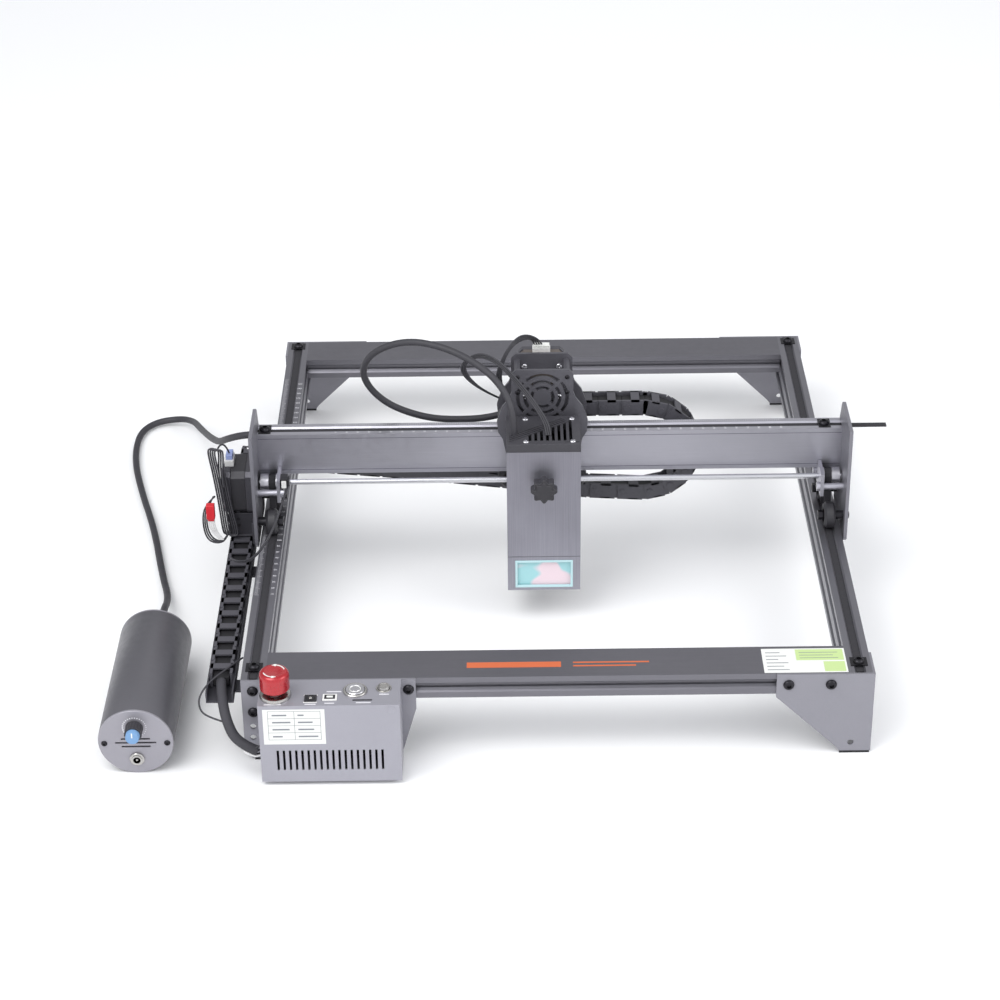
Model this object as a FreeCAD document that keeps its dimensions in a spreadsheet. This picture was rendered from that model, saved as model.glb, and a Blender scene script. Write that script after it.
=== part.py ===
import FreeCAD, Part
import Sketcher
import math
import os
import sys
from FreeCAD import Placement, Rotation, Vector

# Open-frame desktop laser cutter: four slotted aluminium beams on folded sheet feet, a gantry
# that rolls along the two side rails, a laser head that rolls along the gantry, a control box
# at the front left and a separate cylindrical air pump beside it.
# Millimetres, +X to the right, +Y to the back, +Z up. The origin lies on the table, under the
# middle of the frame. The gantry stands a little in front of the middle, the head left of it.

doc = FreeCAD.newDocument("laser_cutter")
cells = doc.addObject("Spreadsheet::Sheet", "Dimensions")

DIMENSIONS = [
    # frame
    ("frame_width", 520.0), ("frame_depth", 612.0), ("frame_top", 79.0),
    ("beam_thin", 20.0), ("beam_tall", 40.0), ("core_bore_r", 2.1),
    ("slot_mouth", 6.4), ("slot_flare", 9.2), ("slot_flare_depth", 1.4),
    ("slot_lip", 1.8), ("slot_cavity", 11.0), ("slot_floor", 5.2),
    ("foot_sheet", 2.0), ("foot_inner", "=frame_width / 2 - 79"),
    ("foot_base", "=frame_width / 2 - 27"), ("foot_side", "=frame_width / 2 + foot_sheet"),
    ("foot_shoulder", 22.0), ("foot_flange", 30.0),
    ("foot_hole_r", 2.6), ("foot_hole_x", "=frame_width / 2 - 15"), ("foot_hole_z", 10.5),
    ("wide_foot_inner", "=frame_width / 2 - 144"), ("pad_height", 2.0), ("bolt_r", 4.6),
    ("bolt_head", 2.8),
    # belts, wheels and pulleys
    ("belt_width", 6.0), ("belt_thick", 1.2), ("belt_drop", 1.65),
    ("wheel_r", 11.95), ("wheel_tread", 5.9), ("wheel_width", 10.2),
    ("wheel_bore_r", 2.55), ("axle_r", 2.5), ("wheel_ride", "=wheel_r - 1.35"),
    ("pulley_r", 5.75), ("pulley_flange_r", 8.0), ("pulley_face", 6.8),
    ("pulley_hub", 6.0), ("y_wheel_spread", "=wheel_r + 12.55"),
    ("x_wheel_spread", "=wheel_r + 16.05"),
    # gantry
    ("shaft_y", -45.0), ("shaft_z", 116.0), ("shaft_r", 2.5), ("gantry_y", -25.0),
    ("gantry_base", 119.0), ("gantry_half", "=frame_width / 2 + 2.5"), ("side_plate", 3.0),
    ("plate_front", -82.0), ("plate_back", -6.0), ("plate_base", 68.0),
    ("plate_top", 181.0), ("bearing_x", "=( frame_width - beam_thin ) / 2 - 8"), ("bearing_r", 5.5),
    ("motor_side", 42.3), ("y_motor_length", 27.0), ("x_motor_length", 26.0),
    # chains
    ("chain_width", 20.0), ("y_chain_high", 14.0), ("y_chain_x", "=-frame_width / 2 - 28"), ("y_chain_width", 19.0),
    ("y_chain_z", 57.0), ("y_chain_front", "=-frame_depth / 2 + 21"), ("y_bend_y", 62.0),
    ("y_bend_r", 11.25), ("tray_sheet", 1.2), ("tray_back", 90.0),
    ("x_chain_high", 15.0), ("x_bend_x", 88.0), ("x_bend_z", 118.5),
    ("x_bend_r", 44.5), ("x_chain_end", -20.0),
    # carriage and head
    ("head_x", -6.5), ("front_plate_y", -39.5), ("rear_plate_y", -7.5),
    ("plate_thick", 3.0), ("drive_z", 197.0), ("carriage_top", 225.0),
    ("neck_half", 27.5), ("ear_half", 40.5), ("grille_r", 23.5),
    ("head_half", 32.5), ("head_depth", 52.0),
    ("head_front", "=front_plate_y - plate_thick - 7.5 - head_depth"),
    ("head_base", 69.0), ("housing_top", 175.5), ("cap_height", 8.0),
    ("shield_height", 35.0), ("head_sheet", 1.5), ("window_half", 25.0),
    ("window_base", 38.0), ("window_height", 26.0), ("knob_r", 11.8),
    ("knob_z", 145.0), ("fan_half", 25.0), ("fan_height", 12.0),
    # control box
    ("box_left", "=-frame_width / 2 + 16.7"), ("box_width", 115.4), ("box_front", "=-frame_depth / 2 - 39"),
    ("box_depth", 37.0), ("box_base", 4.0), ("box_top", 79.5), ("box_sheet", 1.5),
    ("vent_pitch", 5.04), ("vent_width", 2.0), ("vent_height", 19.7),
    ("vent_base", 15.6), ("estop_x", "=-frame_width / 2 + 30.5"),
    ("estop_y", "=-frame_depth / 2 - 24"),
    ("estop_cap_r", 12.3), ("power_x", "=-frame_width / 2 + 95.3"),
    ("power_y", "=-frame_depth / 2 - 18.5"),
    ("power_r", 8.0), ("reset_x", "=-frame_width / 2 + 118.5"),
    ("reset_y", "=-frame_depth / 2 - 15.4"), ("reset_r", 5.0),
    # air pump
    ("pump_r", 31.2), ("pump_length", 150.0), ("pump_x", "=-frame_width / 2 - 87.8"),
    ("pump_front", -324.7), ("pump_wall", 2.0), ("pump_plate", 2.0),
    ("pump_knob_r", 7.4), ("pump_knob_z", 45.5), ("hose_r", 3.25),
    # where the middle of the frame stands, measured from the origin
    ("datum_x", 38.0), ("datum_y", 17.1),
]
for row, (alias, value) in enumerate(DIMENSIONS, 1):
    cells.set(f"A{row}", alias)
    cells.set(f"B{row}", str(value))
    cells.setAlias(f"B{row}", alias)
doc.recompute()


def size(alias):
    return float(getattr(cells, alias))


def bound(text):
    """A size written with the sheet's aliases, as an expression of the document."""
    words = []
    for word in text.replace("(", " ( ").replace(")", " ) ").split():
        known = word.lstrip("-") in ALIASES
        words.append(word.replace(word.lstrip("-"), "Dimensions." + word.lstrip("-")) if known else word)
    return " ".join(words)


ALIASES = {alias for alias, _ in DIMENSIONS}
NODES = []


def bind(thing, **fields):
    for field, text in fields.items():
        thing.setExpression(field.replace("__", "."), bound(str(text)))
    return thing


def at(thing, x, y, z):
    """Put an object at a place that follows the sheet."""
    return bind(thing, Placement__Base__x=f"({x}) + datum_x", Placement__Base__y=f"({y}) + datum_y",
                Placement__Base__z=z)


def block(name, x, y, z, length, width, height):
    made = doc.addObject("Part::Box", name)
    bind(made, Length=length, Width=width, Height=height)
    return at(made, x, y, z)


TURNS = {"z": Rotation(), "x": Rotation(Vector(0, 1, 0), 90), "y": Rotation(Vector(1, 0, 0), -90)}


def rod(name, axis, x, y, z, radius, length):
    """A cylinder from a point along +axis."""
    made = doc.addObject("Part::Cylinder", name)
    made.Placement = Placement(Vector(), TURNS[axis])
    bind(made, Radius=radius, Height=length)
    return at(made, x, y, z)


def ring(name, axis, x, y, z, outer, inner, length):
    return minus(name, rod(name + "_o", axis, x, y, z, outer, length),
                 rod(name + "_i", axis, x, y, z, inner, length))


def minus(name, base, *tools):
    made = doc.addObject("Part::Cut", name)
    made.Base = base
    made.Tool = tools[0] if len(tools) == 1 else plus(name + "_tools", *tools)
    return made


def plus(name, *pieces):
    made = doc.addObject("Part::MultiFuse", name)
    made.Shapes = list(pieces)
    return made


def common(name, one, other):
    made = doc.addObject("Part::Common", name)
    made.Base, made.Tool = one, other
    return made


def group(name, *pieces):
    made = doc.addObject("Part::Compound", name)
    made.Links = list(pieces)
    return made


def node(name, thing):
    thing.Label = name
    NODES.append(thing)
    return thing


def shape_of(name, shape):
    made = doc.addObject("Part::Feature", name)
    made.Shape = shape
    return made


PLANES = {"front": "XZ_Plane", "side": "YZ_Plane", "top": "XY_Plane"}


def sheet_plate(name, plane, corners, thickness, offset, holes=(), back=False):
    """A flat plate padded from a sketch of corners, each a pair of texts bound to the sheet.

    front plates are drawn in X and Z, side plates in Y and Z, and padded along -Y or +X."""
    body = doc.addObject("PartDesign::Body", name)
    flat = next(f for f in body.Origin.OriginFeatures if f.Role == PLANES[plane])
    sketch = body.newObject("Sketcher::SketchObject", name + "_outline")
    sketch.AttachmentSupport = (flat, [""])
    sketch.MapMode = "FlatFace"
    spots = [(value(a), value(b)) for a, b in corners]
    count = len(spots)
    ends = [Vector(*spot, 0) for spot in spots]
    sketch.addGeometry([Part.LineSegment(ends[i], ends[(i + 1) % count]) for i in range(count)], False)
    ties = [Sketcher.Constraint("Coincident", i, 2, (i + 1) % count, 1) for i in range(count)]
    for i, (a, b) in enumerate(spots):
        ties.append(Sketcher.Constraint("DistanceX", -1, 1, i, 1, a))
        ties.append(Sketcher.Constraint("DistanceY", -1, 1, i, 1, b))
    sketch.addConstraint(ties)
    for i, (a, b) in enumerate(corners):
        sketch.renameConstraint(count + 2 * i, f"across{i}")
        sketch.renameConstraint(count + 2 * i + 1, f"up{i}")
        sketch.setExpression(f"Constraints.across{i}", bound(a))
        sketch.setExpression(f"Constraints.up{i}", bound(b))
    for i, (a, b, radius) in enumerate(holes):
        circle = Part.Circle(Vector(value(a), value(b), 0), Vector(0, 0, 1), value(radius))
        edge = sketch.addGeometry(circle, False)
        named = (("DistanceX", a, 3, value(a)), ("DistanceY", b, 3, value(b)))
        for kind, text, point, number in named:
            index = sketch.addConstraint(Sketcher.Constraint(kind, -1, 1, edge, point, number))
            sketch.renameConstraint(index, f"hole{kind}{i}")
            sketch.setExpression(f"Constraints.hole{kind}{i}", bound(text))
        index = sketch.addConstraint(Sketcher.Constraint("Radius", edge, value(radius)))
        sketch.renameConstraint(index, f"holeRadius{i}")
        sketch.setExpression(f"Constraints.holeRadius{i}", bound(radius))
    pad = body.newObject("PartDesign::Pad", name + "_pad")
    pad.Profile = sketch
    pad.setExpression("Length", bound(thickness))
    pad.Reversed = back
    spot = {"x": "0", "y": "0", "z": "0"}
    spot[{"front": "y", "side": "x", "top": "z"}[plane]] = offset
    return at(body, spot["x"], spot["y"], spot["z"])


def value(text):
    """The number that a bound text gives now."""
    return float(cells.evalExpression(bound(str(text)).replace("Dimensions.", "")))


SLOT = [("- slot_flare / 2", "0"), ("- slot_mouth / 2", "slot_flare_depth"),
        ("- slot_mouth / 2", "slot_lip"), ("- slot_cavity / 2", "slot_lip"),
        ("- slot_cavity / 2", "slot_lip + 0.8"), ("- 2.9", "slot_floor"), ("2.9", "slot_floor"),
        ("slot_cavity / 2", "slot_lip + 0.8"), ("slot_cavity / 2", "slot_lip"),
        ("slot_mouth / 2", "slot_lip"), ("slot_mouth / 2", "slot_flare_depth"),
        ("slot_flare / 2", "0")]


def beam(name, plane, a, b, wide, tall, slots, length, offset, back=False):
    """An extruded aluminium beam whose middle is at a, b, slotted along the faces named.

    Each slot is a face and where its middle lies along that face."""
    half_a, half_b = f"({wide}) / 2", f"({tall}) / 2"
    corners = []
    sides = (("bottom", 1, 0, 0, 1, f"- {half_b}"), ("right", 0, 1, -1, 0, half_a),
             ("top", -1, 0, 0, -1, half_b), ("left", 0, -1, 1, 0, f"- {half_a}"))
    starts = {"bottom": (f"- {half_a}", f"- {half_b}"), "right": (half_a, f"- {half_b}"),
              "top": (half_a, half_b), "left": (f"- {half_a}", half_b)}
    for face, ta, tb, na, nb, level in sides:
        corners.append(tuple(f"{c} + ({s})" for c, s in zip((a, b), starts[face])))
        along = sorted((m for f, m in slots if f == face), key=lambda m: m * (ta + tb))
        for middle in along:
            for u, d in SLOT:
                run = f"{middle} + ({ta + tb}) * ({u})"
                if ta:
                    corners.append((f"{a} + {run}", f"{b} + ({level}) + ({nb}) * ({d})"))
                else:
                    corners.append((f"{a} + ({level}) + ({na}) * ({d})", f"{b} + {run}"))
    return sheet_plate(name, plane, corners, length, offset, back=back)


def ribbon(points, thickness):
    """Corners of a band that follows a line of points, as texts."""
    sides = ([], [])
    for i, (a, b) in enumerate(points):
        before, after = points[max(i - 1, 0)], points[min(i + 1, len(points) - 1)]
        run = math.hypot(after[0] - before[0], after[1] - before[1])
        na, nb = -(after[1] - before[1]) / run, (after[0] - before[0]) / run
        for side, sign in zip(sides, (0.5, -0.5)):
            side.append((f"{a + sign * thickness * na:.3f}", f"{b + sign * thickness * nb:.3f}"))
    return sides[0] + sides[1][::-1]


def arch(middle, foot, base, top, radius):
    """Points of a belt that rises from its groove, goes over a pulley and comes down again."""
    points = [(middle - foot, base)]
    for step in range(9):
        turn = math.pi * (1 - step / 8)
        points.append((middle + radius * math.cos(turn), top + radius * math.sin(turn)))
    return points + [(middle + foot, base)]


def vee_wheel(name, axis, x, y, z):
    """A wheel with a flat tread and 45 degree flanks, its middle at x, y, z."""
    flank = "(wheel_width - wheel_tread) / 2"
    low = f"wheel_r - {flank}"
    spot = {"x": [x, y, z], "y": [x, y, z]}[axis]
    index = {"x": 0, "y": 1}[axis]
    parts = []
    for part, start, length, r1, r2 in (
            ("in", "- wheel_width / 2", flank, low, "wheel_r"),
            ("tread", "- wheel_tread / 2", "wheel_tread", "wheel_r", "wheel_r"),
            ("out", "wheel_tread / 2", flank, "wheel_r", low)):
        where = list(spot)
        where[index] = f"({spot[index]}) + {start}"
        if part == "tread":
            parts.append(rod(f"{name}_{part}", axis, *where, "wheel_r", length))
        else:
            made = doc.addObject("Part::Cone", f"{name}_{part}")
            made.Placement = Placement(Vector(), TURNS[axis])
            bind(made, Radius1=r1, Radius2=r2, Height=length)
            parts.append(at(made, *where))
    where = list(spot)
    where[index] = f"({spot[index]}) - wheel_width / 2 - 1"
    bore = rod(f"{name}_bore", axis, *where, "wheel_bore_r", "wheel_width + 2")
    return minus(name, plus(f"{name}_tyre", *parts), bore)


def tube(name, points, radius):
    """A round cord or hose: straight runs joined by tangent arcs. Returns its arc radii too."""
    points = [Vector(x + size("datum_x"), y + size("datum_y"), z) for x, y, z in points]
    edges, radii, here = [], [], points[0]
    for before, corner, after in zip(points, points[1:], points[2:]):
        one, two = (before - corner), (after - corner)
        cut = 0.45 * min(one.Length, two.Length)
        one.normalize()
        two.normalize()
        half = (math.pi - one.getAngle(two)) / 2
        radii.append(cut / math.tan(half))
        start, end = corner + one * cut, corner + two * cut
        middle = (one + two).normalize()
        reach = radii[-1] / math.cos(half) - radii[-1]
        edges.append(Part.makeLine(here, start))
        edges.append(Part.Arc(start, corner + middle * reach, end).toShape())
        here = end
    edges.append(Part.makeLine(here, points[-1]))
    path = Part.Wire(edges)
    first = points[1] - points[0]
    circle = Part.Wire(Part.makeCircle(radius, points[0], first))
    shell = Part.BRepOffsetAPI.MakePipeShell(path)
    shell.add(circle)
    shell.setTransitionMode(1)
    shell.build()
    shell.makeSolid()
    solid = shell.shape()
    full = math.pi * radius ** 2 * path.Length
    print(f"{name}: length {path.Length:.1f}, least bend radius {min(radii):.1f},"
          f" volume {solid.Volume / full:.4f} of section times length")
    return shape_of(name, solid)


def pair(name, make):
    """The same piece at the left and at the right."""
    return group(name, make(name + "_l", -1), make(name + "_r", 1))


# Frame: the side rails stand, the cross beams lie flat between them.
UPRIGHT = [("top", 0), ("bottom", 0), ("left", -10), ("left", 10), ("right", -10), ("right", 10)]
for side, sign in (("left", "-"), ("right", "")):
    middle = f"{sign} ( frame_width - beam_thin ) / 2"
    node(f"{side}_rail", beam(f"{side}_rail_body", "front", middle, "frame_top - beam_tall / 2",
                              "beam_thin", "beam_tall", UPRIGHT, "frame_depth", "frame_depth / 2"))
FLAT = [("left", 0), ("right", 0), ("bottom", -10), ("bottom", 10)]
crossing = "frame_width - 2 * beam_thin"
node("cross_beams", group("cross_beam_pair", *(
    beam(f"{end}_beam", "side", f"{sign} ( frame_depth - beam_tall ) / 2", "frame_top - beam_thin / 2",
         "beam_tall", "beam_thin", FLAT, crossing, f"- ( {crossing} ) / 2")
    for end, sign in (("front", "-"), ("rear", "")))))

# Feet: folded sheet on the ends of the frame. The front left one is wide and carries the box.


def corner_foot(name, sign, rear):
    edge = "frame_depth / 2 + foot_sheet" if rear else "- frame_depth / 2"
    side = sign * 1
    outline = [("foot_inner", "frame_top"), ("foot_inner", "frame_top - foot_shoulder"),
               ("foot_base", "pad_height + 4"), ("foot_base + 3", "pad_height"),
               ("foot_side", "pad_height"), ("foot_side", "frame_top")]
    outline = [(f"{side} * ({a})", b) for a, b in outline]
    holes = [(f"{side} * foot_hole_x", "foot_hole_z", "foot_hole_r")]
    face = sheet_plate(name + "_face", "front", outline, "foot_sheet", edge, holes)
    left = "foot_side - foot_sheet" if sign > 0 else "- foot_side"
    start = "frame_depth / 2 - foot_flange" if rear else "- frame_depth / 2 - foot_sheet"
    flange = block(name + "_flange", left, start, "pad_height", "foot_sheet",
                   "foot_flange + foot_sheet", "frame_top - pad_height")
    return plus(name, face, flange)


node("corner_feet", group("corner_foot_set", corner_foot("fr_foot", 1, False), corner_foot("rl_foot", -1, True),
                          corner_foot("rr_foot", 1, True)))
wide = [("- wide_foot_inner", "frame_top"), ("- wide_foot_inner", "50"), ("- wide_foot_inner - 12", "8"),
        ("- wide_foot_inner - 18", "pad_height"), ("- frame_width / 2 + 6", "pad_height"),
        ("- frame_width / 2", "8"), ("- frame_width / 2", "frame_top")]
wide_holes = [("- frame_width / 2 + 8", "33.5", "foot_hole_r"), ("- frame_width / 2 + 7.5", "22.5", "foot_hole_r"),
              ("- frame_width / 2 + 8", "10.5", "foot_hole_r")]
node("box_foot", sheet_plate("fl_foot", "front", wide, "foot_sheet", "- frame_depth / 2", wide_holes))
pads = []
front_pad, rear_pad = "- frame_depth / 2 - 2.2", "frame_depth / 2 - 0.2"
for i, (x, width, y) in enumerate((("frame_width / 2 - 24", "25", front_pad), ("- frame_width / 2 + 8", "117", front_pad),
                                   ("frame_width / 2 - 24", "25", rear_pad), ("- frame_width / 2 - 1", "25", rear_pad))):
    pads.append(block(f"pad{i}", x, y, "0", width, "foot_sheet + 0.4", "pad_height"))
node("foot_pads", group("pad_set", *pads))

# Button-head bolts through the feet into the slots and beam ends.
bolts = []
for i, (x, z) in enumerate((("frame_width / 2 - 69", 10), ("frame_width / 2 - 34", 10), ("- frame_width / 2 + 9", 31),
                            ("- frame_width / 2 + 9.5", 10), ("- frame_width / 2 + 138", 10))):
    bolts.append(rod(f"fbolt{i}", "y", x, "- frame_depth / 2 - foot_sheet - bolt_head", f"frame_top - {z}",
                     "bolt_r", "bolt_head"))
for i, (s, inset) in enumerate(((1, 69), (1, 34), (-1, 34), (-1, 69))):
    bolts.append(rod(f"rbolt{i}", "y", f"{s} * ( frame_width / 2 - {inset} )", "frame_depth / 2 + foot_sheet",
                     "frame_top - 10", "bolt_r", "bolt_head"))


# Drive belts lie still in the top grooves of the rails and are clamped at both ends.
groove = "frame_top - belt_drop - belt_thick"
node("y_belts", pair("y_belt", lambda n, s: block(
    n, f"{s} * ( frame_width - beam_thin ) / 2 - belt_width / 2", "- frame_depth / 2 + 4", groove,
    "belt_width", "frame_depth - 8", "belt_thick")))
clamps = []
for i, (s, y) in enumerate(((-1, "- frame_depth / 2 + 18"), (1, "- frame_depth / 2 + 16"), (-1, "frame_depth / 2 - 9"),
                            (1, "frame_depth / 2 - 10"))):
    x = f"{s} * ( frame_width - beam_thin ) / 2"
    clamps.append(rod(f"clamp{i}", "z", x, y, "frame_top + 0.6", "bolt_r", "bolt_head"))
    clamps.append(block(f"clamp_plate{i}", f"{x} - 7", f"{y} - 6", "frame_top", "14", "12", "0.6"))
node("frame_bolts", group("bolt_set", *bolts, *clamps))

# Control box: a folded sheet box, open at the back where it meets the wide foot.
outer = block("box_outer", "box_left", "box_front", "box_base", "box_width", "box_depth", "box_top - box_base")
inner = block("box_inner", "box_left + box_sheet", "box_front + box_sheet", "box_base + box_sheet",
              "box_width - 2 * box_sheet", "box_depth", "box_top - box_base - 2 * box_sheet")
cuts = [inner]
for i in range(18):
    cuts.append(block(f"vent{i}", f"box_left + 14.3 + {i} * vent_pitch - vent_width / 2", "box_front - 1",
                      "vent_base", "vent_width", "box_sheet + 2", "vent_height"))
for i, (x, y, r) in enumerate((("estop_x", "estop_y", "6"), ("power_x", "power_y", "power_r + 0.3"),
                               ("reset_x", "reset_y", "reset_r + 0.3"), ("box_left + 42.7", "box_front + 9.4", "5.2"))):
    cuts.append(rod(f"box_hole{i}", "z", x, y, "box_top - 5", r, "10"))
cuts.append(block("usb_hole", "box_left + 52.1", "box_front + 6.6", "box_top - 5", "12.4", "9.4", "10"))
cuts.append(block("card_hole", "box_left + 76.9", "box_front + 6.4", "box_top - 5", "16", "2", "10"))
node("control_box_shell", minus("box_shell", outer, *cuts))
board = [block("pcb", "box_left + 8", "box_front + 31", "12", "99", "1.6", "52"),
         rod("capacitor", "z", "box_left + 93.3", "box_front + 25.5", "16", "5", "12"),
         block("driver_a", "box_left + 18.3", "box_front + 27", "20", "15", "4", "20"),
         block("driver_b", "box_left + 43.3", "box_front + 27", "20", "15", "4", "20"),
         ring("dc_socket", "z", "box_left + 42.7", "box_front + 9.4", "68", "5", "3.2", "box_top - 67"),
         rod("dc_pin", "z", "box_left + 42.7", "box_front + 9.4", "68", "1", "9")]
usb = minus("usb", block("usb_o", "box_left + 52.3", "box_front + 6.8", "66", "12", "9", "box_top - 65.6"),
            block("usb_i", "box_left + 53.3", "box_front + 7.8", "70", "10", "7", "20"))
node("box_fittings", group("fitting_set", *board, usb, ring("estop_ring", "z", "estop_x", "estop_y", "box_top", "13", "5.4", "3.5"),
                             ring("power_ring", "z", "power_x", "power_y", "box_top", "10", "power_r + 0.3", "1.6")))
stem = plus("estop_shaft", rod("estop_rod", "z", "estop_x", "estop_y", "box_top - 9", "5.1", "18"),
            rod("estop_foot", "z", "estop_x", "estop_y", "box_top - 12", "7.5", "3"))
node("estop_stem", stem)
crown = plus("estop_crown", rod("estop_disc", "z", "estop_x", "estop_y", "box_top + 9.3", "estop_cap_r", "12"),
             rod("estop_top", "z", "estop_x", "estop_y", "box_top + 21.3", "estop_cap_r - 2", "3"))
node("estop_cap", crown)
node("power_button", rod("power_rod", "z", "power_x", "power_y", "box_top - 6", "power_r", "8.4"))
node("reset_button", rod("reset_rod", "z", "reset_x", "reset_y", "box_top - 6", "reset_r", "9"))

# Cable chain of the long axis, in a folded tray hung on the left rail.
tray_x = "y_chain_x - 2"
floor = "y_chain_z - 0.3 - tray_sheet"
tray = [block("tray_floor", tray_x, "- frame_depth / 2 + 1", floor, "y_chain_width + 4",
              "tray_back + frame_depth / 2", "tray_sheet"),
        block("tray_out", tray_x, "- frame_depth / 2 + 1", floor, "tray_sheet",
              "tray_back + frame_depth / 2", "10"),
        block("tray_in", f"{tray_x} + y_chain_width + 4 - tray_sheet", "- frame_depth / 2 + 1", floor,
              "tray_sheet", "tray_back + frame_depth / 2", "10")]
for i, y in enumerate((-290, -110, 70)):
    tray.append(block(f"tray_arm{i}", f"{tray_x} + y_chain_width + 4 - tray_sheet", y, floor,
                      "- y_chain_x - y_chain_width - 2 + tray_sheet - frame_width / 2", "16", "2"))
node("y_chain_tray", plus("tray", *tray))
node("y_chain_fixed", block("y_fixed", "y_chain_x", "y_chain_front", "y_chain_z", "y_chain_width",
                            "y_bend_y - y_chain_front", "y_chain_high"))


def half_ring(name, axis, x, y, z, radius, high, wide):
    """Half a ring of chain. It bulges to +Y for axis x and to +X for axis y."""
    full = ring(name + "_full", axis, x, y, z, f"{radius} + {high} / 2", f"{radius} - {high} / 2", wide)
    reach = f"{radius} + {high}"
    if axis == "x":
        clip = block(name + "_clip", f"({x}) - 1", y, f"({z}) - ({reach})", f"{wide} + 2", reach, f"2 * ({reach})")
    else:
        clip = block(name + "_clip", x, f"({y}) - 1", f"({z}) - ({reach})", reach, f"{wide} + 2", f"2 * ({reach})")
    return common(name, full, clip)


y_axis_z = "y_chain_z + y_chain_high / 2 + y_bend_r"
node("y_chain_bend", half_ring("y_bend", "x", "y_chain_x", "y_bend_y", y_axis_z, "y_bend_r", "y_chain_high",
                                "y_chain_width"))
node("y_chain_moving", block("y_moving", "y_chain_x", "- 60", "y_chain_z + 2 * y_bend_r", "y_chain_width",
                             "y_bend_y + 60", "y_chain_high"))

# Air pump: a round tube with an end plate at each end, lying on the table beside the frame.
rear_y = "pump_front + pump_plate"
node("pump_body", ring("pump_tube", "y", "pump_x", rear_y, "pump_r", "pump_r", "pump_r - pump_wall", "pump_length"))
slots = [block(f"pump_slot{i}", f"pump_x - {w} / 2", "pump_front - 1", z, w, "pump_plate + 2", 1.6)
         for i, (z, w) in enumerate(((33.4, 24), (29.6, 34), (25.8, 24)))]
front = minus("pump_face", rod("pump_disc", "y", "pump_x", "pump_front", "pump_r", "pump_r", "pump_plate"),
              rod("pump_knob_hole", "y", "pump_x", "pump_front - 1", "pump_knob_z", "3.05", "pump_plate + 2"),
              rod("pump_jack_hole", "y", "pump_x", "pump_front - 1", "14.5", "5", "pump_plate + 2"), *slots)
back_y = f"{rear_y} + pump_length"
outlet = rod("pump_nipple", "y", "pump_x", f"{back_y} + pump_plate", "pump_r", "2", "8.5")
rear = plus("pump_back", rod("pump_back_disc", "y", "pump_x", back_y, "pump_r", "pump_r", "pump_plate"), outlet)
node("pump_end_plates", group("pump_end_set", front, rear))
node("pump_motor", plus("pump_works", rod("pump_can", "y", "pump_x", f"{rear_y} + 62", "pump_r", "20", "68"),
                        block("pump_head", "pump_x - 17", f"{rear_y} + 130", "pump_r - 17", "34", "20", "34")))
jack = minus("pump_jack_set", plus("jack_body", rod("jack_nut", "y", "pump_x", "pump_front - 2", "14.5", "6.15", "2"),
                                   rod("jack_tube", "y", "pump_x", "pump_front - 3", "14.5", "5", "14")),
             rod("jack_bore", "y", "pump_x", "pump_front - 4", "14.5", "3", "12"))
pins = [jack] + [rod(f"pump_screw{i}", "y", f"pump_x + {x}", "pump_front - 1.6", "30", "2.6", "1.6") for i, x in
                 enumerate((-26, 26))]
node("pump_jack", group("pump_fittings", *pins))
knob = plus("pump_dial", rod("dial_stem", "y", "pump_x", "pump_front - 2", "pump_knob_z", "3", "8"),
            rod("dial", "y", "pump_x", "pump_front - 16", "pump_knob_z", "pump_knob_r", "15.5"))
node("pump_knob", knob)

# Gantry: a beam between two side plates that ride on the rails.
gantry_z = "gantry_base + beam_tall / 2"
GANTRY = [("top", 0), ("bottom", 0), ("right", -10), ("right", 10)]
node("gantry_beam", beam("gantry_body", "side", "gantry_y", gantry_z, "beam_thin", "beam_tall", GANTRY,
                         "2 * gantry_half", "- gantry_half"))
axle_z = "frame_top + wheel_ride"
axle_front = "shaft_y - y_wheel_spread"
axle_back = "shaft_y + y_wheel_spread"
cheek = [("plate_front", "plate_base + 4"), ("plate_front + 4", "plate_base"), ("plate_back - 4", "plate_base"),
         ("plate_back", "plate_base + 4"), ("plate_back", "130"), ("plate_back - 7", "157"),
         ("plate_back - 17", "plate_top - 3"), ("plate_back - 20", "plate_top"), ("plate_front", "plate_top")]


def gantry_cheek(name, sign):
    holes = [(axle_front, axle_z, "axle_r"), (axle_back, axle_z, "axle_r"),
             ("shaft_y", "shaft_z", "11.2" if sign < 0 else "3.4")]
    where = "- gantry_half - side_plate" if sign < 0 else "gantry_half"
    plate = sheet_plate(name, "side", cheek, "side_plate", where, holes)
    if sign < 0:
        return plate
    slit = block(name + "_slit", "gantry_half - 1", "gantry_y - belt_width / 2 - 1", "gantry_base + beam_tall - 4",
                 "side_plate + 2", "belt_width + 2", "4")
    return minus(name + "_slitted", plate, slit)


node("gantry_plates", pair("cheek", gantry_cheek))
holder = [("- 63", "105"), ("- 24", "105"), ("- 24", "118.6"), ("- 35.4", "118.6"), ("- 35.4", "127"), ("- 63", "127")]


def bearing_unit(name, sign):
    where = "- bearing_x - side_plate" if sign < 0 else "bearing_x"
    post = "- gantry_half" if sign < 0 else "bearing_x + side_plate"
    screw = "- bearing_x" if sign < 0 else "bearing_x - 3"
    reach = "gantry_half - bearing_x - side_plate"
    plate = sheet_plate(name + "_plate", "side", holder, "side_plate", where, [("shaft_y", "shaft_z", "bearing_r")])
    pieces = [plate, ring(name + "_race", "x", where, "shaft_y", "shaft_z", "bearing_r", "shaft_r + 0.05", "side_plate")]
    for i, (y, z) in enumerate(((-59, 113), (-28, 113))):
        pieces.append(rod(f"{name}_post{i}", "x", post, y, z, "3", reach))
        pieces.append(rod(f"{name}_screw{i}", "x", screw, y, z, "4.2", "3"))
    return group(name, *pieces)


node("shaft_bearings", pair("bearing", bearing_unit))


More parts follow.
